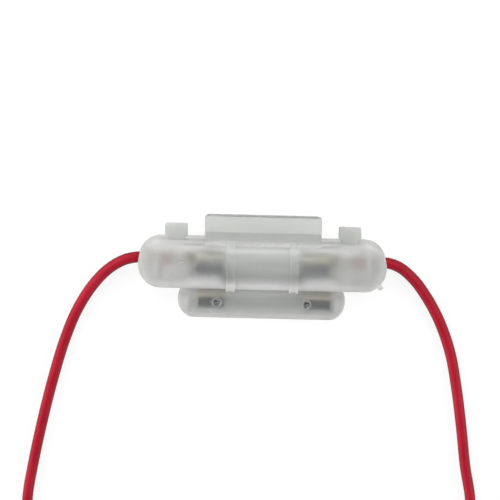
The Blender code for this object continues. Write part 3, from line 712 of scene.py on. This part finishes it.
# ---- leads -----------------------------------------------------------------
def smooth_route(points, step, straight=2):
    start = [Vector(p) for p in points[:straight]]
    pts = [Vector(p) for p in points[straight - 1:]]
    pts = pts + [pts[-1] * 2 - pts[-2]]
    fine = []
    for a, b, c, d in zip(pts, pts[1:], pts[2:], pts[3:]):
        t0 = 0.0
        t1 = t0 + (b - a).length ** 0.5
        t2 = t1 + (c - b).length ** 0.5
        t3 = t2 + (d - c).length ** 0.5
        for k in range(24):
            t = t1 + (t2 - t1) * k / 24
            a1 = a.lerp(b, (t - t0) / (t1 - t0))
            a2 = b.lerp(c, (t - t1) / (t2 - t1))
            a3 = c.lerp(d, (t - t2) / (t3 - t2))
            b1 = a1.lerp(a2, (t - t0) / (t2 - t0))
            b2 = a2.lerp(a3, (t - t1) / (t3 - t1))
            fine.append(b1.lerp(b2, (t - t1) / (t2 - t1)))
    fine.append(pts[-2])
    run = [0.0]
    for p, q in zip(fine, fine[1:]):
        run.append(run[-1] + (q - p).length)
    count = max(2, round(run[-1] / step))
    out, j = start, 0
    for k in range(count + 1):
        want = run[-1] * k / count
        while j < len(run) - 2 and run[j + 1] < want:
            j += 1
        span = run[j + 1] - run[j]
        out.append(fine[j].lerp(fine[j + 1], (want - run[j]) / span))
    return out


def twisted(name, points, radius, lobes, turns, depth=0.16, per_lobe=6):
    """A bundle of strands: a lobed section that turns along a line."""
    bm = bmesh.new()
    sides = lobes * per_lobe
    rings = []
    total = sum((b - a).length for a, b in zip(points, points[1:]))
    run = 0.0
    for k, p in enumerate(points):
        if k:
            run += (p - points[k - 1]).length
        ahead = (points[min(k + 1, len(points) - 1)] - points[max(k - 1, 0)]).normalized()
        side = ahead.cross(Vector((0, 0, 1))).normalized()
        top = side.cross(ahead)
        twist = 2 * math.pi * turns * run / total
        ring = []
        for s in range(sides):
            t = 2 * math.pi * s / sides
            r = radius * (1 - depth + depth * abs(math.cos(lobes * t / 2)) ** 0.8)
            ring.append(bm.verts.new(p + side * (r * math.cos(t + twist))
                                     + top * (r * math.sin(t + twist))))
        rings.append(ring)
    for a, b in zip(rings, rings[1:]):
        for s in range(sides):
            j = (s + 1) % sides
            bm.faces.new((a[s], a[j], b[j], b[s]))
    for ring, sign in ((rings[0], -1), (rings[-1], 1)):
        ahead = (points[1] - points[0]) if sign < 0 else (points[-1] - points[-2])
        centre = sum((v.co for v in ring), Vector()) / sides
        pole = bm.verts.new(centre + ahead.normalized() * sign * radius * 0.18)
        for s in range(sides):
            bm.faces.new((ring[s], ring[(s + 1) % sides], pole))
    return done(bm, name, 50.0)


leads, tips = {}, {}
for word, route in (("left", ROUTE_LEFT), ("right", ROUTE_RIGHT)):
    points = smooth_route(route, 1.3)
    data = bpy.data.curves.new("lead_cord_" + word, "CURVE")
    data.dimensions = "3D"
    data.bevel_depth = LEAD_RADIUS * MM
    data.bevel_resolution = 8
    data.use_fill_caps = True
    spline = data.splines.new("POLY")
    spline.points.add(len(points) - 1)
    for p, co in zip(spline.points, points):
        p.co = (*(co * MM), 1.0)
    spline.use_smooth = True
    cord = add("lead_cord_" + word, data, RED_PVC, "base", "red_pvc",
               "lead_" + word)
    end, before = points[-1], points[-2]
    ahead = (end - before).normalized()
    line = [end + ahead * (-0.6 + (TIP_LENGTH + 0.5) * k / 30) for k in range(31)]
    tip = add("lead_strands_" + word,
              twisted("lead_strands_" + word, line, TIP_RADIUS, 8, 0.75),
              COPPER, "base", "copper", "lead_tip_" + word)
    leads[word], tips[word] = cord, tip
    length = sum((b - a).length for a, b in zip(points, points[1:])) * MM
    print("lead", word, round(length, 5))
    leads[word + "_length"] = length


# ---- tie round the tails ---------------------------------------------------
tie_y = (TAIL_Y_LEFT + TAIL_Y_RIGHT) / 2
inner_y = (TAIL_Y_RIGHT - TAIL_Y_LEFT) / 2 + LEAD_RADIUS + 0.1
inner_z = LEAD_RADIUS + 0.1


def loop_section(grow, steps=24):
    r = inner_z + grow
    reach = inner_y + grow - r
    return (arc(tie_y + reach, TIE_Z, r, -90, 90, steps)
            + arc(tie_y - reach, TIE_Z, r, 90, 270, steps))


tie = add("cord_tie", bar("cord_tie", loop_section(0.5), TIE_X - 1.2,
                          TIE_X + 1.2, edge=0.1), TIE_WHITE, "base",
          "tie_nylon", "lead_tie")
top_z = TIE_Z + inner_z
boolean(tie, block("tie_head", (TIE_X - 1.9, tie_y - 1.8, top_z + 0.2),
                   (TIE_X + 1.9, tie_y + 1.8, top_z + 2.5), edge=0.28), "UNION")
boolean(tie, bar("tie_tail", [(tie_y - 4.4, top_z + 1.05), (tie_y - 4.2, top_z + 0.9),
                              (tie_y + 2.6, top_z + 0.9), (tie_y + 2.8, top_z + 1.1),
                              (tie_y + 2.6, top_z + 1.6), (tie_y - 4.2, top_z + 1.6),
                              (tie_y - 4.4, top_z + 1.5)],
                 TIE_X - 1.1, TIE_X + 1.1, edge=0.06), "UNION")
for k in range(8):
    y = tie_y - 4.05 + 0.28 * k
    boolean(tie, block("tie_tooth_%d" % k, (TIE_X - 0.7, y, top_z + 1.45),
                       (TIE_X + 0.7, y + 0.13, top_z + 1.9)), "DIFFERENCE")
boolean(tie, block("tie_window", (TIE_X - 0.8, tie_y - 0.9, top_z + 2.1),
                   (TIE_X + 0.8, tie_y + 0.7, top_z + 2.9)), "DIFFERENCE")
boolean(tie, bar("tie_inside", loop_section(0.0), TIE_X - 3.0, TIE_X + 3.0),
        "DIFFERENCE")
settle(tie)

for word in ("left", "right"):
    side = -1 if word == "left" else 1


# ---- case halves -----------------------------------------------------------
def lug(name, side, z0, z1):
    neck, head = LUG_NECK / 2, LUG_HEAD / 2
    y_in, y_neck, y_out, r = 4.9, 6.15, LUG_EDGE, 0.4
    half = [(neck, y_in), (neck, y_neck), (head, y_neck + 0.1)]
    half += [(head - r + r * math.cos(a), y_out - r + r * math.sin(a))
             for a in (math.pi / 2 * k / 8 for k in range(9))]
    outline = half + [(-x, y) for x, y in reversed(half)]
    return prism(name, [(x + side * LUG_X, y) for x, y in outline], z0, z1,
                 0.1, 0.1, (2, 2))


def nub(name):
    """The stub left by the moulding gate: snipped, so its end is uneven."""
    bm = bmesh.new()
    bmesh.ops.create_cube(bm, size=1.0)
    bmesh.ops.scale(bm, vec=(NUB_OUT + 0.6, NUB_WIDE, NUB_TALL), verts=bm.verts)
    bmesh.ops.translate(bm, vec=((NUB_OUT - 0.6) / 2, 0, 0), verts=bm.verts)
    for v in bm.verts:
        if v.co.x > 0 and v.co.y < 0:
            v.co.x -= 0.22
    soften(bm, 0.1, 3)
    x = half_x - END_ROUND + END_ROUND * math.cos(NUB_TURN)
    y = half_y * math.sin(NUB_TURN)
    out = math.atan2(math.sin(NUB_TURN) / half_y, math.cos(NUB_TURN) / END_ROUND)
    bmesh.ops.transform(bm, matrix=Matrix.Translation((x, y, NUB_Z))
                        @ Matrix.Rotation(out, 4, "Z"), verts=bm.verts)
    return done(bm, name)


def rim_ring(name, x, y):
    """A low bead that lies on the round back of the trough."""
    bm = bmesh.new()
    turns, sides, tube = 40, 12, 0.13
    rings = []
    for k in range(turns):
        a = 2 * math.pi * k / turns
        px, py = x + (PUSH_HOLE_R + 0.16) * math.cos(a), y + (PUSH_HOLE_R + 0.16) * math.sin(a)
        pz = SPARE_Z + math.sqrt(TROUGH_RADIUS ** 2 - (py - SPARE_Y) ** 2)
        rings.append([bm.verts.new((px + tube * math.cos(t) * math.cos(a),
                                    py + tube * math.cos(t) * math.sin(a),
                                    pz + tube * math.sin(t)))
                      for t in (2 * math.pi * j / sides for j in range(sides))])
    for k in range(turns):
        m = (k + 1) % turns
        for j in range(sides):
            q = (j + 1) % sides
            bm.faces.new((rings[k][j], rings[k][q], rings[m][q], rings[m][j]))
    return done(bm, name)


half_x, half_y = CASE_LENGTH / 2, CASE_WIDTH / 2
base_top = PART_LINE - PART_GAP / 2
cover_bottom = PART_LINE + PART_GAP / 2
outline = plan_stadium(half_x, half_y, END_ROUND, 48)
bay_plan = plan_box(BAY_HALF, half_y - WALL, BAY_CORNER, 9)

base = add("case_base", prism("case_base", outline, 0.0, base_top,
                              EDGE_ROUND, LINE_ROUND, (14, 3)),
           MILKY, "base", "milky_plastic", "base_shell")
boolean(base, bar("base_web", [(4.9, base_top - WEB_THICK), (4.9, base_top),
                               (WEB_EDGE, base_top),
                               (WEB_EDGE, base_top - WEB_THICK)],
                  -WEB_HALF, WEB_HALF, WEB_EDGE, 0.75, 0.1), "UNION")
for side, word in ((-1, "left"), (1, "right")):
    boolean(base, lug("base_lug_" + word, side, base_top - LUG_THICK,
                      base_top), "UNION")
boolean(base, capsule("trough_body", TROUGH_RADIUS, TROUGH_HALF, TROUGH_END,
                      SPARE_Y, SPARE_Z), "UNION")
boolean(base, block("trough_foot", (-30, SPARE_Y - 6, -5),
                    (30, SPARE_Y + 6, 0.0)), "DIFFERENCE")
RELIEF = 0.3
boolean(base, block("trough_relief", (-21, -half_y - RELIEF, 5.2),
                    (21, -half_y + 0.02, 8.0)), "DIFFERENCE")
boolean(base, prism("base_bay", bay_plan, WALL, 8.0, BAY_ROUND, 0.0,
                    (8, 1)), "DIFFERENCE")
for side, word in ((-1, "left"), (1, "right")):
    x0, x1 = sorted((side * 9.5, side * 14.2))
    boolean(base, block("clip_seat_" + word, (x0, -2.2, 0.6),
                        (x1, 2.2, 2.35), 0.1), "UNION")
boolean(base, rod("trough_bore", TROUGH_BORE, -TROUGH_BAY_HALF,
                  TROUGH_BAY_HALF, SPARE_Y, SPARE_Z, 72), "DIFFERENCE")
boolean(base, block("trough_mouth",
                    (-TROUGH_BAY_HALF, SPARE_Y - TROUGH_MOUTH / 2, -2.0),
                    (TROUGH_BAY_HALF, SPARE_Y + TROUGH_MOUTH / 2, SPARE_Z)),
        "DIFFERENCE")
for side, word in ((-1, "left"), (1, "right")):
    boolean(base, rim_ring("push_rim_" + word, side * PUSH_HOLE_X,
                           SPARE_Y + 0.4 + 0.15), "UNION")
for side, word in ((-1, "left"), (1, "right")):
    boolean(base, pin("push_recess_" + word, PUSH_HOLE_R, side * PUSH_HOLE_X,
                      SPARE_Y + 0.4, SPARE_Z + 3.62, SPARE_Z + 6.0),
            "DIFFERENCE")
    boolean(base, pin("push_hole_" + word, PUSH_HOLE_R * 0.32, side * PUSH_HOLE_X,
                      SPARE_Y + 0.4, SPARE_Z + 1.0, SPARE_Z + 6.0, 24),
            "DIFFERENCE")
    x0, x1 = sorted((side * (BAND_X0 - 0.2), side * (BAND_X1 + 0.2)))
    boolean(base, block("claw_slot_" + word, (x0, -half_y - 0.6, 3.8),
                        (x1, -half_y + 0.02, 7.0)), "DIFFERENCE")
    boolean(base, block("claw_pocket_" + word, (x0, -half_y - 0.3, 3.82),
                        (x1, -half_y + 0.45, 4.85)), "DIFFERENCE")
    x0, x1 = sorted((side * (BAY_HALF - 1.0), side * (half_x + 2.0)))
    boolean(base, rod("lead_hole_" + word, HOLE_RADIUS, x0, x1, 0.0, LEAD_Z,
                      48), "DIFFERENCE")
settle(base)
line_inside(base)

corner_y, corner_z = half_y - EDGE_ROUND, CASE_DEPTH - EDGE_ROUND
cover = add("case_cover", prism("case_cover", outline, cover_bottom,
                                CASE_DEPTH, LINE_ROUND, EDGE_ROUND, (3, 14)),
            MILKY, "cover", "milky_plastic", "cover_shell")
boolean(cover, bar("cover_web", [(3.4, cover_bottom), (WEB_EDGE, cover_bottom),
                                 (WEB_EDGE, cover_bottom + WEB_THICK),
                                 RAMP_FOOT, RAMP_TOP, (3.4, 8.7)],
                   -WEB_HALF, WEB_HALF, WEB_EDGE, 0.75, 0.12), "UNION")
for side, word in ((-1, "left"), (1, "right")):
    boolean(cover, lug("cover_lug_" + word, side, cover_bottom,
                       cover_bottom + LUG_THICK), "UNION")
claw_in = -half_y - 0.05
claw_out = claw_in - CLAW_THICK
outer = EDGE_ROUND + BAND_RISE
band = [(5.9, 7.9)]
band += arc(corner_y, corner_z, outer, 25, 90, 16)
band += arc(-corner_y, corner_z, outer, 90, 180, 22)
band += [(claw_out, 6.2), (claw_out, CLAW_TIP_Z + 0.25),
         (claw_out + 0.15, CLAW_TIP_Z), (claw_in + 0.15, CLAW_TIP_Z),
         (claw_in + 0.35, CLAW_TIP_Z + 0.2), (claw_in + 0.35, CLAW_TIP_Z + 0.55),
         (claw_in, CLAW_TIP_Z + 0.8), (claw_in, cover_bottom + 0.15),
         (-4.9, cover_bottom + 0.3)]
band += arc(-corner_y, corner_z, 3.0, 180, 90, 12)
band += arc(corner_y, corner_z, 3.0, 90, 25, 8)
bead = [(5.75, 8.0)]
bead += arc(corner_y, corner_z, outer + BEAD_RISE, 22, 90, 16)
bead += arc(-corner_y, corner_z, outer + BEAD_RISE, 90, 180, 22)
bead += [(claw_out - BEAD_RISE, 6.2), (claw_out - BEAD_RISE, CLAW_TIP_Z + 0.3),
         (claw_out - BEAD_RISE + 0.15, CLAW_TIP_Z + 0.1), (claw_in, CLAW_TIP_Z + 0.1),
         (claw_in, cover_bottom + 0.15), (-4.9, cover_bottom + 0.3)]
bead += arc(-corner_y, corner_z, 3.0, 180, 90, 12)
bead += arc(corner_y, corner_z, 3.0, 90, 25, 8)
for side, word in ((-1, "left"), (1, "right")):
    x0, x1 = sorted((side * BAND_X0, side * BAND_X1))
    boolean(cover, bar("latch_band_" + word, band, x0, x1), "UNION")
    for k, x in enumerate((x0, x1 - BEAD_WIDE)):
        boolean(cover, bar("bead_%s_%d" % (word, k), bead, x, x + BEAD_WIDE,
                           edge=0.07), "UNION")
# the mark left by the mould's insert over the left crimp
mark = [Vector((MARK_X + 3.1 * math.cos(a), MARK_Y + 3.1 * math.sin(a),
                CASE_DEPTH - 0.02))
        for a in (math.radians(92 + 96 * k / 24) for k in range(25))]
boolean(cover, twisted("insert_mark", mark, 0.13, 6, 0.0, 0.0, 2), "UNION")
boolean(cover, nub("gate_nub"), "UNION")
boolean(cover, prism("cover_bay", bay_plan, 3.0, CASE_DEPTH - WALL,
                     0.0, BAY_ROUND, (1, 8)), "DIFFERENCE")
settle(cover)
line_inside(cover)


# ---- hinge film ------------------------------------------------------------
def hinge_film():
    """The thin fold that joins both webs at their outer edge."""
    bm = bmesh.new()
    outer_line = [(WEB_EDGE - 0.1 + 0.36 * math.cos(a), PART_LINE + 0.46 * math.sin(a))
                  for a in (math.radians(-90 + 180 * k / 28) for k in range(29))]
    inner_line = [(WEB_EDGE - 0.1 + 0.12 * math.cos(a), PART_LINE + 0.24 * math.sin(a))
                  for a in (math.radians(90 - 180 * k / 28) for k in range(29))]
    section = outer_line + inner_line
    half = WEB_HALF - 0.75
    columns = []
    for k in range(41):
        x = -half + 2 * half * k / 40
        columns.append([bm.verts.new((x, y, z)) for y, z in section])
    for a, b in zip(columns, columns[1:]):
        for s in range(len(section)):
            j = (s + 1) % len(section)
            bm.faces.new((a[s], a[j], b[j], b[s]))
    bm.faces.new(columns[0])
    bm.faces.new(list(reversed(columns[-1])))
    return done(bm, "hinge_film")


film = bpy.data.objects.new("hinge_film", hinge_film())
SCENE.collection.objects.link(film)
film.data.materials.append(MILKY)
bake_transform(film)


# ---- fuses -----------------------------------------------------------------
def cap_mesh(name, side, x, y, z):
    """A drawn cap: rounded end with a shallow recess and a solder dimple."""
    end = FUSE_LENGTH / 2
    mouth = end - CAP_LENGTH
    r, ri = CAP_RADIUS, CAP_RADIUS - CAP_WALL
    line = [(mouth + 0.06, ri), (mouth + 0.02, ri + 0.05), (mouth, r - 0.12),
            (mouth + 0.02, r - 0.05), (mouth + 0.08, r - 0.01), (mouth + 0.16, r)]
    line += [(mouth + 0.75, r), (mouth + 0.86, r - 0.03), (mouth + 0.98, r - 0.045),
             (mouth + 1.10, r - 0.03), (mouth + 1.21, r)]
    line += [(end - 0.45, r)]
    line += [(end - 0.42 + 0.42 * math.sin(a), r - 0.42 + 0.42 * math.cos(a))
             for a in (math.pi / 2 * k / 8 for k in range(1, 9))]
    line += [(end, 2.2), (end - 0.03, 2.08), (end - 0.09, 2.0), (end - 0.10, 1.0),
             (end - 0.10, 0.62), (end - 0.06, 0.52), (end - 0.03, 0.36),
             (end - 0.05, 0.18), (end - 0.06, 0.0)]
    line += [(end - CAP_END, 0.0), (end - CAP_END, ri - 0.2),
             (end - CAP_END - 0.06, ri - 0.05), (end - CAP_END - 0.2, ri)]
    return lathe(name, [(x + side * px, pr) for px, pr in line], y, z, 80)


def fuse(prefix, x, y, z, nodes, nickel):
    end = FUSE_LENGTH / 2
    tube_end = end - CAP_END - 0.1
    ro, ri = GLASS_RADIUS, GLASS_BORE
    line = []
    for s in (1, -1):
        line += [(x + s * (tube_end - 0.12), ri if s < 0 else ro),
                 (x + s * (tube_end - 0.03), (ri + 0.06) if s < 0 else (ro - 0.06)),
                 (x + s * tube_end, (ri + ro) / 2 - 0.15 * s * -1),
                 ]
        if s > 0:
            line += [(x + s * tube_end, (ri + ro) / 2 - 0.15),
                     (x + s * (tube_end - 0.03), ri + 0.06),
                     (x + s * (tube_end - 0.12), ri)]
        else:
            line += [(x + s * tube_end, (ri + ro) / 2 + 0.15),
                     (x + s * (tube_end - 0.03), ro - 0.06),
                     (x + s * (tube_end - 0.12), ro)]
    line = list(dict.fromkeys(line))
    add(prefix + "_tube", lathe(prefix + "_tube", line, y, z, 96), GLASS,
        "base", "fuse_glass", nodes + "_glass")
    for side, word in ((-1, "left"), (1, "right")):
        add(prefix + "_end_" + word,
            cap_mesh(prefix + "_end_" + word, side, x, y, z), nickel, "base",
            "fuse_cap", nodes + "_cap_" + word)
    # the element: a fine wire, slightly bowed, soldered inside both caps
    reach = end - CAP_END - 0.15
    line = []
    for k in range(61):
        t = -1 + 2 * k / 60
        line.append(Vector((x + reach * t, y + 0.22 * math.sin(2.2 * t),
                            z - 0.28 * (1 - t * t))))
    wire = twisted(prefix + "_wire", line, 0.13, 3, 0.0, 0.02, 4)
    blobs = []
    for s in (-1, 1):
        blob = lathe(prefix + "_blob", [(x + s * (reach + 0.13), 0.0),
                                        (x + s * (reach + 0.12), 0.8),
                                        (x + s * (reach - 0.1), 0.72),
                                        (x + s * (reach - 0.35), 0.45),
                                        (x + s * (reach - 0.55), 0.2),
                                        (x + s * (reach - 0.62), 0.0)],
                     y, z, 24, closed=False)
        blobs.append(blob)
    add(prefix + "_link", join_all(prefix + "_link", [wire] + blobs),
        WIRE_ALLOY, "base", "fuse_wire", nodes + "_element")


fuse("main_fuse", 0.0, 0.0, FUSE_Z, "fuse", NICKEL)
fuse("second_fuse", SPARE_X, SPARE_Y, SPARE_Z, "spare_fuse", NICKEL_SPARE)


# ---- terminals -------------------------------------------------------------
clip_mid = CAP_RADIUS + 0.05 + CLIP_STRIP / 2
seat_z = FUSE_Z - CAP_RADIUS - 0.28 - STRIP / 2


def thick_line(path, thick):
    """A closed band round an open (u, v) path."""
    near, far = [], []
    for k, (u, v) in enumerate(path):
        u0, v0 = path[max(k - 1, 0)]
        u1, v1 = path[min(k + 1, len(path) - 1)]
        d = math.hypot(u1 - u0, v1 - v0)
        nu, nv = -(v1 - v0) / d, (u1 - u0) / d
        near.append((u + nu * thick / 2, v + nv * thick / 2))
        far.append((u - nu * thick / 2, v - nv * thick / 2))
    return near + list(reversed(far))


def strip_mesh(name, path, half_width, thick, edge=0.05):
    """A flat strip bent along an (x, z) path, its edges broken."""
    bm = bmesh.new()
    section = thick_line(path, thick)
    face = bm.faces.new([bm.verts.new((x, -half_width, z)) for x, z in section])
    out = bmesh.ops.extrude_face_region(bm, geom=[face])
    far = [g for g in out["geom"] if isinstance(g, bmesh.types.BMVert)]
    bmesh.ops.translate(bm, verts=far, vec=(0, 2 * half_width, 0))
    soften(bm, edge, 2)
    return done(bm, name)


def fillet(path, radius, steps=6):
    """The path with its inner corners rounded."""
    out = [path[0]]
    for a, b, c in zip(path, path[1:], path[2:]):
        va = Vector((a[0] - b[0], a[1] - b[1]))
        vc = Vector((c[0] - b[0], c[1] - b[1]))
        d = min(radius, va.length * 0.45, vc.length * 0.45)
        pa = Vector(b) + va.normalized() * d
        pc = Vector(b) + vc.normalized() * d
        for k in range(steps + 1):
            t = k / steps
            p = pa * (1 - t) ** 2 + Vector(b) * (2 * t * (1 - t)) + pc * t ** 2
            out.append((p.x, p.y))
    out.append(path[-1])
    return out


half_clip = fillet([(1.1, seat_z), (1.75, seat_z)]
                   + arc(0, FUSE_Z, clip_mid, -45, CLIP_TOP, 20), 0.25, 4)
clip_path = [(-y, z) for y, z in reversed(half_clip)] + half_clip

for side, word in ((-1, "left"), (1, "right")):
    x0, x1 = sorted((side * CLIP_IN, side * CLIP_OUT))
    term = add("fuse_clip_" + word,
               bar("fuse_clip_" + word, thick_line(clip_path, CLIP_STRIP), x0, x1,
                   edge=0.07), PLATED, "base", "plated_brass",
               "terminal_" + word)
    joggle = fillet([(side * (CLIP_OUT - 1.0), seat_z), (side * 15.5, seat_z),
                     (side * 16.6, 1.4), (side * (BARREL_OUT + 0.1), 1.4)],
                    0.5, 6)
    boolean(term, strip_mesh("strip_" + word, joggle, 1.3, 0.42), "UNION")
    x0, x1 = sorted((side * STOP_IN, side * STOP_OUT))
    for tip in (-1, 1):
        y0, y1 = sorted((tip * 0.9, tip * 2.5))
        boolean(term, block("stop_%s_%d" % (word, tip), (x0, y0, seat_z - 0.1),
                            (x1, y1, 5.3), 0.08), "UNION")
    # crimp: both wings rolled in onto the strands
    wing = [(0.0, LEAD_Z + 0.34)]
    wing += [(0.20, LEAD_Z + 0.62), (0.42, LEAD_Z + 1.0)]
    wing += arc(0.28, LEAD_Z, 1.12 - 0.0, 62, -62, 18)
    wing += [(0.45, LEAD_Z - 1.15)]
    path = [(-y, z) for y, z in reversed(wing)][:-1] + [wing[0]] + wing[1:]
    left_half = [(-y, z) for y, z in wing]
    x0, x1 = sorted((side * BARREL_IN, side * BARREL_OUT))
    for k, half in enumerate((wing, left_half)):
        boolean(term, bar("crimp_%s_%d" % (word, k),
                          thick_line(fillet(half, 0.3, 5), 0.34), x0, x1,
                          edge=0.06), "UNION")
    # the hole in the clip's seat
    boolean(term, pin("seat_hole_" + word, 0.8, side * 11.9, 0.0, 1.5, 3.2, 32),
            "DIFFERENCE")
    settle(term)
    line = [Vector((side * (BARREL_IN - 0.3 + (LEAD_START - BARREL_IN + 0.2) * k / 24),
                    0.0, LEAD_Z)) for k in range(25)]
    add("strands_" + word, twisted("strands_" + word, line, STRAND_RADIUS,
                                   9, 0.4), COPPER, "base", "copper",
        "conductor_" + word)


# ---- stage -----------------------------------------------------------------
FLOOR_GLOW = 0.80
FLOOR_TONE = 0.25
UNDER = 0.05
UNDER_TROUGH = 0.58
floor_mesh = bpy.data.meshes.new("floor")
s = 3.0
floor_mesh.from_pydata([(-s, -s, 0), (s, -s, 0), (s, s, 0), (-s, s, 0)], [],
                       [(0, 1, 2, 3)])
floor = bpy.data.objects.new("floor", floor_mesh)
floor.location.z = -0.00003
SCENE.collection.objects.link(floor)
n = Nodes("pale_floor")
n.put("Roughness", 0.9)
n.put("Specular IOR Level", 0.1)
n.to("Base Color", n.colours(n.noise(0.02, 2.0),
                             [(0.3, (FLOOR_TONE - 0.01,) * 3),
                              (0.7, (FLOOR_TONE + 0.01,) * 3)]))
n.put("Emission Color", (1.0, 1.0, 1.0, 1.0))
# no fill light from the strip of floor that the holder lies on
split = n.tree.nodes.new("ShaderNodeSeparateXYZ")
n.link(n.object, split.inputs["Vector"])
from_case = n.math("MULTIPLY",
                   n.span(n.math("ABSOLUTE", split.outputs["X"]), 1.0, 0.0,
                          20 * MM, 26 * MM, True),
                   n.span(n.math("ABSOLUTE", split.outputs["Y"]), 1.0, 0.0,
                          3.0 * MM, 5.5 * MM, True))
from_trough = n.math("MULTIPLY",
                     n.span(n.math("ABSOLUTE", split.outputs["X"]), 1.0, 0.0,
                            15.5 * MM, 19.0 * MM, True),
                     n.span(n.math("ABSOLUTE", n.math("SUBTRACT", split.outputs["Y"],
                                                      -8.6 * MM)),
                            1.0, 0.0, 3.4 * MM, 5.2 * MM, True))
shade_case = n.math("SUBTRACT", 1.0, n.math("MULTIPLY", from_case, UNDER))
shade_trough = n.math("SUBTRACT", 1.0, n.math("MULTIPLY", from_trough, UNDER_TROUGH))
n.to("Emission Strength", n.math("MULTIPLY", n.math("MINIMUM", shade_case, shade_trough),
                                 FLOOR_GLOW))
n.mat.cycles.emission_sampling = "NONE"
floor_mesh.materials.append(n.mat)

# The caps mirror what is in the plane across the case, so the strip over the
# camera is dark and the soft light comes from both sides.
DARK_LEAN, DARK_IN, DARK_OUT, DARK = -11.0, 45.0, 53.0, 0.07
SIDE_FROM, SIDE_TO = 0.48, 0.88   # |x| of a direction where the sides begin
MIDDLE = (1.65, 1.85)       # the rest of that strip, -Y to +Y
SIDES = (2.9, 3.1)        # both sides, -Y to +Y
world = bpy.data.worlds.new("studio")
SCENE.world = world
world.use_nodes = True
tree = world.node_tree
tree.nodes.clear()
coords = tree.nodes.new("ShaderNodeTexCoord")
dot = tree.nodes.new("ShaderNodeVectorMath")
dot.operation = "DOT_PRODUCT"
lean = math.radians(DARK_LEAN)
dot.inputs[1].default_value = (0.0, math.sin(lean), math.cos(lean))
tree.links.new(coords.outputs["Generated"], dot.inputs[0])


def ranged(value, a, b):
    node = tree.nodes.new("ShaderNodeMapRange")
    node.interpolation_type = "SMOOTHSTEP"
    node.inputs["From Min"].default_value = a
    node.inputs["From Max"].default_value = b
    tree.links.new(value, node.inputs["Value"])
    return node.outputs["Result"]


def combine(op, a, b):
    node = tree.nodes.new("ShaderNodeMath")
    node.operation = op
    for socket, v in zip(node.inputs, (a, b)):
        if isinstance(v, float):
            socket.default_value = v
        else:
            tree.links.new(v, socket)
    return node.outputs["Value"]


split = tree.nodes.new("ShaderNodeSeparateXYZ")
tree.links.new(coords.outputs["Generated"], split.inputs["Vector"])
over = ranged(dot.outputs["Value"], math.cos(math.radians(DARK_OUT)),
              math.cos(math.radians(DARK_IN)))
side = ranged(combine("ABSOLUTE", split.outputs["X"], 0.0), SIDE_FROM, SIDE_TO)
rise = ranged(split.outputs["Y"], -0.9, 0.9)


def between(fac, a, b):
    """a where fac is 0, b where it is 1; a and b are numbers or sockets."""
    return combine("ADD", combine("MULTIPLY", combine("SUBTRACT", 1.0, fac), a),
                   combine("MULTIPLY", fac, b))


middle = between(over, between(rise, MIDDLE[0], MIDDLE[1]), DARK)
level = between(side, middle, between(rise, SIDES[0], SIDES[1]))
sky = tree.nodes.new("ShaderNodeBackground")
sky.inputs["Color"].default_value = (1.0, 1.0, 1.0, 1.0)
tree.links.new(level, sky.inputs["Strength"])
out = tree.nodes.new("ShaderNodeOutputWorld")
tree.links.new(sky.outputs["Background"], out.inputs["Surface"])


SCENE.view_settings.view_transform = "Standard"
SCENE.view_settings.look = "None"
SCENE.view_settings.exposure = 0.0
SCENE.view_settings.gamma = 1.0
SCENE.cycles.max_bounces = 24
SCENE.cycles.transmission_bounces = 20
SCENE.cycles.glossy_bounces = 8
SCENE.cycles.diffuse_bounces = 5
SCENE.cycles.transparent_max_bounces = 16
SCENE.cycles.caustics_refractive = True
SCENE.cycles.caustics_reflective = True
SCENE.cycles.sample_clamp_indirect = 3.5
SCENE.cycles.use_denoising = True
SCENE.cycles.denoising_input_passes = "RGB_ALBEDO_NORMAL"
SCENE.cycles.denoising_prefilter = "ACCURATE"
